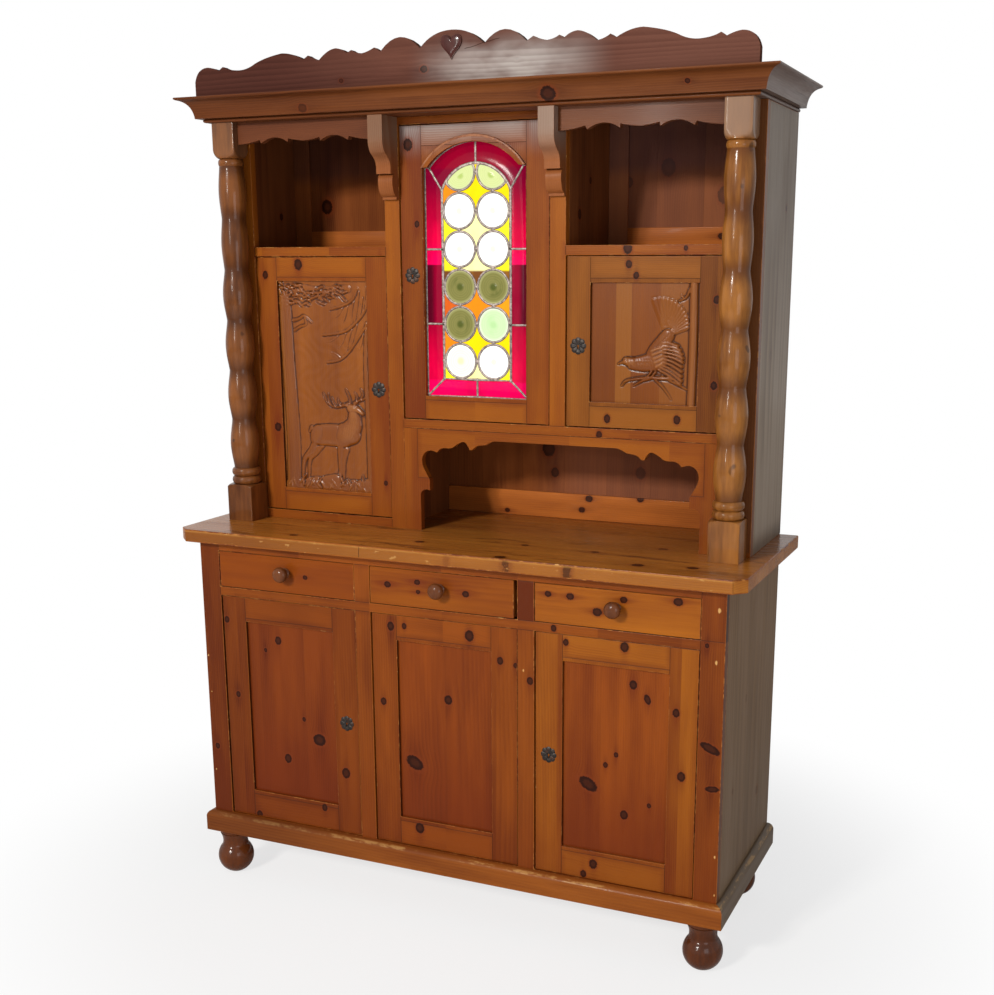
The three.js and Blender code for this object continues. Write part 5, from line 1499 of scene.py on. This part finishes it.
class Carving:
    """A panel's face as a grid of heights. All in millimetres from the lower left corner of its opening."""

    def __init__(self, panel, frame_name, seed):
        frame_box = span(frame_name)
        corner = (frame_box[0] + HUTCH_STILE, frame_box[4] + HUTCH_RAIL)
        self.box = span(panel)
        x0, x1, _, _, z0, z1 = self.box
        self.xs = np.linspace(x0, x1, int((x1 - x0) / CARVING_STEP))
        self.zs = np.linspace(z0, z1, int((z1 - z0) / CARVING_STEP))
        self.x, self.z = np.meshgrid((self.xs - corner[0]) * 1000, (self.zs - corner[1]) * 1000,
                                     indexing="ij")
        self.height = np.zeros_like(self.x)
        self.random = np.random.default_rng(seed)

    def away(self, points, start, end):
        """How far each place lies from a stroke: as a share of its radius, and in mm from its edge."""
        spans = list(zip(points[:-1], points[1:]))
        share_away = np.full_like(self.x, 99.0)
        edge = np.full_like(self.x, 99.0)
        for order, ((ax, az), (bx, bz)) in enumerate(spans):
            dx, dz = bx - ax, bz - az
            along = np.clip(((self.x - ax) * dx + (self.z - az) * dz) / (dx * dx + dz * dz + 1e-9), 0, 1)
            radius = start + (end - start) * (order + along) / len(spans)
            off = np.hypot(self.x - ax - along * dx, self.z - az - along * dz)
            share_away = np.minimum(share_away, off / radius)
            edge = np.minimum(edge, off - radius)
        return share_away, edge

    def stroke(self, points, start, end, rise, ditch=1.2, bluff=2.0):
        """A ridge with a cut round it. The higher bluff is, the flatter its top and the steeper its sides."""
        share_away, edge = self.away(points, start, end)
        cut = ditch * np.clip(1 - np.abs(edge - 0.8) / 1.6, 0, 1)
        self.height -= cut * (self.height < 0.45 * rise)
        ridge = rise * np.sqrt(np.clip(1 - np.clip(share_away, 0, 1) ** bluff, 0, 1))
        self.height = np.where(share_away < 1, np.maximum(self.height, ridge), self.height)

    def strokes(self, *rows):
        """Strokes along smooth lines: the points of each, then what stroke takes."""
        for points, *shape in rows:
            self.stroke(curved(points), *shape)

    def groove(self, points, width, depth):
        """A cut with a gouge, tapering to its end."""
        share_away, _ = self.away(points, width, width * 0.35)
        self.height -= depth * np.clip(1 - share_away ** 2, 0, 1)

    def grooves(self, *rows):
        """Gouge cuts along smooth lines."""
        for points, width, depth in rows:
            self.groove(curved(points), width, depth)

    def leaf(self, x, z, turn, length, width, rise):
        way = (math.cos(turn), math.sin(turn))
        tip = (x + length * way[0], z + length * way[1])
        middle = (x + length * 0.45 * way[0], z + length * 0.45 * way[1])
        self.stroke([(x, z), middle], width * 0.5, width, rise, 2.2)
        self.stroke([middle, tip], width, width * 0.2, rise * 0.9, 1.0)
        self.groove([(x, z), tip], 0.9, 1.1)

    def tooling(self, amount):
        """Shallow marks that a gouge leaves on the ground."""
        rows = np.sin(self.x * 0.16 + 3 * np.sin(self.z * 0.05))
        columns = np.sin(self.z * 0.11 + 2 * np.sin(self.x * 0.07))
        self.height += amount * (rows * columns)

    def blurred(self, height, passes):
        for _ in range(passes):
            soft = height.copy()
            soft[1:-1, 1:-1] = (height[1:-1, 1:-1] * 2 + height[:-2, 1:-1] + height[2:, 1:-1]
                                + height[1:-1, :-2] + height[1:-1, 2:]) / 6
            height = soft
        return height

    def make(self, name, body, material):
        height = self.blurred(np.clip(self.height, -2.4, 7.0), 1)
        broad = self.blurred(height, 22)
        front, back = self.box[2:4]
        across, up = height.shape
        points = [(self.xs[i], front - height[i, j] / 1000, self.zs[j])
                  for i in range(across) for j in range(up)]
        faces = []
        for i in range(across - 1):
            for j in range(up - 1):
                corner = i * up + j
                faces.append((corner, corner + up, corner + up + 1, corner + 1))
        rim = [i * up for i in range(across)] + [(across - 1) * up + j for j in range(1, up)]
        rim += [i * up + up - 1 for i in range(across - 2, -1, -1)] + [j for j in range(up - 2, 0, -1)]
        start = len(points)
        points += [(points[corner][0], back, points[corner][2]) for corner in rim]
        count = len(rim)
        for i in range(count):
            j = (i + 1) % count
            faces.append((rim[j], rim[i], start + i, start + j))
        faces.append(tuple(reversed(range(start, start + count))))
        piece = make_piece(name, (points, faces), body, material, angle=70)
        # hollow and raised feed the stain, painted shade and painted highlight of carved_pine
        hollow = broad - height + np.clip(-height, 0, 2) * 0.35
        for attribute, values in (("hollow", hollow), ("raised", height / 4.5)):
            store = piece.data.attributes.new(attribute, "FLOAT", "POINT")
            flat = np.concatenate([values.ravel(), np.zeros(count)])
            store.data.foreach_set("value", flat.astype(np.float32))
        return piece


def carved_pine(name, light, dark, plank, bands_at=(), coat=0.4):
    """Pine darkened in the hollows of a carving, partly stain and partly painted shade, with a painted
    highlight on its high places.
    """
    def relief_stain_and_painted_light(finish, colour, grain):
        hollow, raised = (finish.stored(name) for name in ("hollow", "raised"))
        for low, high, tint in bands_at:
            colour = mix(between(finish.x, low, high) * 0.8, colour, tint)
        colour = mix(raised.smooth(0.3, 0.8) * 0.4, colour, tone(112, 60, 30))
        # painted highlight on the highest places of the relief
        colour = mix(raised.smooth(0.9, 1.4) * 0.32, colour, tone(174, 114, 62))
        # hollows: partly stain, partly painted shade
        return mix(hollow.smooth(0.12, 1.1) * 0.85, colour, tone(58, 25, 10))
    return pine(name, light, dark, plank=plank, seam=0.15, gloss=0.28, coat=coat, sheen=0.2,
                contrast=0.7, paint=relief_stain_and_painted_light)


def carve_foliage(carving):
    """Leaves of the bough along the top, thick at the left and thin at the right."""
    carving.stroke(curved([(-8, 514), (60, 520), (120, 516), (205, 526)]), 22, 9, 1.7, 0.6, 3.0)
    rows = ((4, 70, 8.0, 6), (10, 205, 6.5, 16), (30, 190, 6.0, 29), (8, 130, 6.5, 42))
    for row, (start, end, thick, drop) in enumerate(rows):
        x = start
        while x < end:
            z = 533 - drop + 7 * math.sin(x * 0.11 + row) + carving.random.uniform(-2, 2) + x * 0.03
            turn = carving.random.uniform(-0.7, 0.5) + (math.pi if carving.random.random() < 0.25 else 0)
            carving.leaf(x, z, turn, carving.random.uniform(14, 20), thick * 0.6, 5.2 - 0.5 * row)
            x += carving.random.uniform(8, 12)
    for turn in turns(9):
        carving.leaf(22 + 9 * math.cos(turn), 500 + 11 * math.sin(turn), turn, 12, 4.2, 5.4)


def carve_boughs(carving):
    """Drooping boughs at the upper right with their hanging twigs."""
    boughs = (
        [(233, 526), (217, 498), (187, 483), (150, 474)],
        [(261, 487), (245, 461), (210, 429), (180, 416), (126, 409)],
        [(263, 444), (236, 409), (203, 368), (173, 347), (136, 340)],
    )
    twigs = (
        [(222, 505), (214, 470), (212, 440)], [(236, 520), (230, 480), (222, 445)],
        [(247, 505), (240, 470), (233, 448)], [(205, 492), (196, 462), (186, 440)],
        [(256, 530), (252, 500), (246, 470)], [(190, 484), (176, 462), (160, 452)],
        [(214, 430), (203, 402), (196, 372)], [(230, 446), (222, 418), (212, 392)],
        [(196, 421), (186, 396), (172, 378)], [(176, 415), (160, 400), (142, 392)],
        [(246, 420), (240, 392), (234, 376)], [(182, 350), (166, 362), (150, 366)],
    )
    for twig in twigs:
        line = curved(twig, 4)
        carving.stroke(line, 1.7, 1.2, 1.5, 0.6)
        carving.groove([(x + 3.0, z) for x, z in line], 1.5, 1.0)
    for bough in boughs:
        line = curved(bough, 6)
        carving.stroke(line, 3.2, 1.4, 2.6, 0.0)
        carving.groove([(x + 1.0, z - 3.4) for x, z in line], 2.4, 2.2)


def carve_ground(carving):
    """Mounds and tufts along the foot of the panel."""
    for x, z, radius, rise in ((26, 14, 26, 4.0), (82, 18, 28, 3.6), (138, 24, 32, 4.4), (194, 16, 28, 3.6),
                               (238, 22, 26, 4.2)):
        carving.stroke([(x - 12, z), (x + 12, z + 2)], radius * 0.7, radius * 0.8, rise, 1.0, 2.2)
    for i in range(22):
        x = 8 + 11.4 * i + carving.random.uniform(-3, 3)
        lean = carving.random.uniform(-0.8, 0.8)
        tall = carving.random.uniform(18, 30) * (1.35 if i % 5 == 0 else 1.0)
        carving.leaf(x, 8 + carving.random.uniform(0, 20), math.pi / 2 - lean, tall, 4.2, 6.2)


def carve_trunks(carving):
    """The trunk at the left with its bark, the sapling at the right and two twigs."""
    carving.stroke(curved([(22, -4), (27, 120), (24, 250), (19, 380), (17, 500)]), 21, 17, 4.6, 1.2, 2.6)
    for x in (10, 17, 30, 37):
        carving.groove(curved([(x, 470), (x + 3, 300), (x + 6, 160), (x + 4, 30)]), 1.6, 0.9)
    carving.strokes(
        ([(257, 0), (255, 180), (251, 330), (256, 440)], 9, 4, 3.2, 1.0),
        ([(40, 446), (58, 450), (74, 457), (96, 440)], 4.0, 1.6, 3.2),
        ([(42, 420), (60, 430), (78, 436), (74, 455)], 3.2, 1.6, 2.8),
    )


def carve_stag_body(carving):
    """Legs, body, neck and head, then the ears and the tail."""
    carving.strokes(
        ([(95, 134), (80, 110), (60, 88), (54, 66), (51, 34)], 11, 3.0, 3.0, 1.5, 2.4),
        ([(112, 128), (92, 104), (74, 84), (70, 36)], 10, 2.6, 1.8, 1.5, 2.4),
        ([(186, 118), (178, 84), (176, 34)], 9, 2.6, 2.2, 1.5, 2.4),
        ([(170, 124), (168, 84), (167, 26)], 11, 3.2, 3.2, 1.5, 2.4),
        ([(106, 152), (140, 154), (180, 152)], 27, 30, 4.2, 1.8, 3.4),
        ([(104, 158), (96, 142)], 21, 17, 4.8, 1.2, 2.6),
        ([(183, 156), (204, 158)], 31, 26, 5.2, 1.6, 3.0),
        ([(196, 162), (212, 184), (212, 210)], 30, 15, 5.8, 1.6, 2.8),
        ([(204, 226), (222, 224), (238, 214)], 12.5, 6.0, 6.6, 1.5, 2.4),
    )
    carving.stroke([(199, 230), (180, 235)], 5.0, 2.2, 5.0)
    carving.stroke([(216, 236), (228, 246)], 4.2, 2.0, 4.8)
    carving.stroke([(84, 172), (77, 160)], 4.6, 2.6, 3.6)


def carve_antlers(carving):
    """Two beams with their tines."""
    antlers = (
        [(196, 238), (178, 230), (158, 227), (136, 236), (122, 262)],
        [(147, 230), (138, 244), (137, 261)],
        [(160, 227), (152, 238), (148, 251)],
        [(176, 230), (168, 240), (166, 250)],
        [(202, 240), (199, 256), (190, 274)],
        [(214, 240), (232, 248), (239, 262), (234, 276)],
        [(230, 247), (246, 252), (251, 266)],
        [(222, 243), (222, 256), (216, 266)],
    )
    carving.strokes(*((points, 3.0, 1.3, 4.6, 1.6) for points in antlers))


def carve_coat(carving):
    """Tufts on the neck, folds at the legs, eye, nose and mouth."""
    for row in range(4):
        for i in range(7):
            x = 188 + 6.2 * i - 2.5 * row
            z = 206 - 13 * row - 1.5 * i
            carving.groove(curved([(x, z), (x - 1.5, z - 6), (x - 5, z - 12)], 3), 1.3, 1.0)
    carving.grooves(
        ([(166, 176), (160, 150), (168, 126)], 2.2, 1.0),
        ([(118, 172), (116, 150), (104, 134)], 2.0, 0.9),
    )
    carving.groove([(219, 229), (226, 229)], 2.0, 2.0)
    carving.groove([(232, 210), (243, 209)], 1.2, 1.2)
    carving.groove([(240, 217), (242, 216)], 1.6, 1.4)


def carve_stag():
    carving = Carving("hutch_door_left_panel", "hutch_door_left_frame", 11)
    carving.tooling(0.35)
    carve_trunks(carving)
    carve_foliage(carving)
    carve_boughs(carving)
    carve_stag_body(carving)
    carve_antlers(carving)
    carve_coat(carving)
    carve_ground(carving)
    left = carving.box[0]
    material = carved_pine("stag_panel_pine", tone(143, 79, 22), tone(102, 48, 14), 0.13,
                           ((left, left + 0.02, tone(140, 84, 34)),))
    piece = carving.make("hutch_door_left_carving", "hutch_door_left", material)
    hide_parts("hutch_door_left_panel")


def carve_tail(carving):
    """Fanned feathers with a cut between each two."""
    def tail(share, length):
        """A point of the fanned tail, from its upper edge at 0 to its lower edge at 1."""
        angle = math.radians(111 - 88 * share)
        return 184 + length * math.cos(angle), 166 + length * math.sin(angle)

    for share in shares(12, 0):
        tip = tail(share, 84 - 32 * share ** 1.4)
        carving.stroke([tail(share, 0), tip], 3.2, 8.0 - 2.0 * share, 1.1 + 1.6 * share, 0.4, 2.6)
    for share in [(i - 0.5) / 12 for i in range(14)]:
        tip = tail(share, 86 - 33 * max(share, 0) ** 1.4)
        carving.groove([tip, tail(share, 22)], 1.6, 0.7)


def carve_wing(carving):
    """Long feathers from the lowest up, then the short ones that cover their roots."""
    feathers = (
        ((176, 150), (212, 144)), ((176, 143), (218, 135)), ((177, 136), (222, 126)),
        ((177, 129), (224, 117)), ((177, 122), (224, 108)), ((176, 115), (222, 98)),
        ((175, 108), (222, 87)), ((173, 101), (222, 76)), ((171, 95), (222, 66)), ((168, 89), (220, 57)),
    )
    for (ax, az), (bx, bz) in reversed(feathers):
        line = curved([(ax, az), ((ax + bx) / 2, (az + bz) / 2 + 3), (bx, bz)], 4)
        carving.stroke(line, 3.0, 4.2, 5.4, 1.0)
        carving.groove(line[2:], 0.9, 0.8)
    for i in range(5):
        covert = [(150 + 3 * i, 132 - 9 * i), (164 + 2 * i, 137 - 9 * i), (176, 140 - 9 * i)]
        carving.stroke(curved(covert, 3), 5.6, 3.2, 6.4, 1.2)


def carve_grouse():
    carving = Carving("hutch_door_right_panel", "hutch_door_right_frame", 5)
    carving.stroke(curved([(246, -6), (248, 140), (247, 284)]), 9.5, 9.5, 5.6, 1.6, 2.4)
    carving.groove(curved([(241, 0), (243, 140), (241, 276)]), 1.4, 1.2)
    carving.stroke(curved([(238, 272), (229, 254), (212, 245)]), 3.4, 1.5, 3.6, 1.6)
    carving.stroke([(224, 250), (217, 258)], 2.0, 1.2, 3.0, 1.2)
    carve_tail(carving)
    carving.strokes(
        ([(188, 168), (176, 150), (164, 130), (158, 112)], 15, 26, 4.6, 2.0, 2.8),
        ([(166, 110), (132, 103), (104, 101)], 24, 13.5, 5.0, 2.2, 2.8),
    )
    carving.stroke([(104, 104), (88, 107)], 12.5, 9.0, 5.8, 1.6, 2.4)
    carving.stroke([(84, 105), (68, 100)], 5.0, 1.0, 4.6, 1.8)
    carve_wing(carving)
    for row in range(3):
        for i in range(7):
            x = 108 + 7 * i + 3 * row
            z = 110 - 8 * row
            carving.groove(curved([(x, z + 3), (x + 4, z), (x + 3, z - 4)], 3), 1.1, 0.9)
    for i in range(6):
        x = 160 + 5 * i
        carving.groove([(x, 140 + 5 * i), (x + 7, 146 + 5 * i)], 1.2, 0.9)
    carving.grooves(
        ([(80, 109), (92, 112), (102, 108)], 1.5, 2.0),
        ([(82, 102), (94, 100), (104, 96)], 1.5, 2.0),
    )
    carving.groove([(90, 107.5), (93, 107.5)], 1.5, 2.2)
    carving.strokes(
        ([(200, 70), (176, 70), (140, 70), (110, 66), (88, 61), (78, 50)], 5.0, 1.8, 4.4, 2.0),
        ([(146, 68), (127, 62), (108, 51)], 3.4, 1.4, 3.6, 1.8),
        ([(160, 66), (181, 46), (199, 22)], 2.8, 1.1, 3.2, 1.6),
        ([(176, 74), (206, 60), (236, 46)], 3.2, 1.4, 3.4, 1.6),
        *(([(x + 8, 84), (x + 2, 76), (x - 6, 70)], 3.2, 1.8, 5.6, 1.4) for x in (142, 152)),
    )
    opening = span("hutch_door_right_frame")[0] + HUTCH_STILE
    planks = ((opening + 0.060, opening + 0.098, tone(141, 84, 30)),
              (opening + 0.168, opening + 0.27, tone(132, 76, 28)))
    material = carved_pine("grouse_panel_pine", tone(126, 66, 16), tone(98, 46, 12), 0.4, planks, 0.22)
    piece = carving.make("hutch_door_right_carving", "hutch_door_right", material)
    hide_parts("hutch_door_right_panel")


carve_stag()
carve_grouse()


# Room: a pale floor, a white surround and soft light from high in front
def background(tree, colour, strength):
    node = tree.nodes.new("ShaderNodeBackground")
    node.inputs["Color"].default_value = colour
    node.inputs["Strength"].default_value = strength
    return node.outputs[0]


def blended(tree, factor, first, second):
    """The first shader at 0 and the second at 1."""
    node = tree.nodes.new("ShaderNodeMixShader")
    feed(tree, factor, node.inputs[0])
    tree.links.new(first, node.inputs[1])
    tree.links.new(second, node.inputs[2])
    return node.outputs[0]


SKY_LIGHT = 0.27
FLOOR_REACH = 12.0


def make_room():
    world = bpy.data.worlds.new("surround")
    world.use_nodes = True
    scene.world = world
    tree = world.node_tree
    tree.nodes.clear()
    path = tree.nodes.new("ShaderNodeLightPath")
    seen = Field(tree, path.outputs["Is Camera Ray"])
    for name in ("Is Glossy Ray", "Is Transmission Ray"):
        seen = seen.math("MAXIMUM", Field(tree, path.outputs[name]))
    lighting = background(tree, (0.93, 0.96, 1.0, 1.0), SKY_LIGHT)
    white = background(tree, (1.0, 1.0, 1.0, 1.0), 1.0)
    surround = blended(tree, seen, lighting, white)
    tree.links.new(surround, tree.nodes.new("ShaderNodeOutputWorld").inputs[0])

    finish = Finish("floor")
    dust = noise(finish.place, 3.0, 3.0)
    finish.set(base_color=mix(dust, tone(252, 252, 252), tone(248, 248, 248)), roughness=0.9)
    out = hypot(finish.x, finish.y).smooth(0.75, 1.6) * 0.28 + 0.72
    camera_ray = Field(finish.tree, finish.tree.nodes.new("ShaderNodeLightPath").outputs["Is Camera Ray"])
    glow = finish.tree.nodes.new("ShaderNodeEmission")
    both = blended(finish.tree, out * camera_ray, finish.shader.outputs[0], glow.outputs[0])
    finish.tree.links.new(both, finish.tree.nodes["Material Output"].inputs[0])
    mesh = bpy.data.meshes.new("floor")
    corners = [(x * FLOOR_REACH, y * FLOOR_REACH, 0) for x, y in ((-1, -1), (1, -1), (1, 1), (-1, 1))]
    mesh.from_pydata(corners, [], [(0, 1, 2, 3)])
    mesh.materials.append(finish.material)
    floor = placed("floor", mesh)


def make_lamp(name, place, target, width, height, power, colour):
    data = bpy.data.lights.new(name, "AREA")
    data.shape = "RECTANGLE"
    data.size = width
    data.size_y = height
    data.energy = power
    data.color = colour
    lamp = placed(name, data)
    lamp.location = place
    lamp.rotation_euler = (Vector(target) - Vector(place)).to_track_quat("-Z", "Y").to_euler()


def make_lamps():
    middle = (0.0, 0.0, 1.1)
    daylight = (1.0, 0.97, 0.92)
    for name, aside in (("window_left", -0.3), ("window_right", 0.3)):
        make_lamp(name, (aside - 1.5, -6.2, 3.8), middle, 0.42, 0.6, 150.0, daylight)
    make_lamp("low_pane", (-1.5, -6.2, 2.4), middle, 0.16, 1.0, 46.0, daylight)
    make_lamp("soft_fill", (2.8, -3.0, 1.2), middle, 1.6, 1.6, 26.0, (0.97, 0.97, 1.0))


make_room()
make_lamps()

scene.view_settings.view_transform = "Standard"
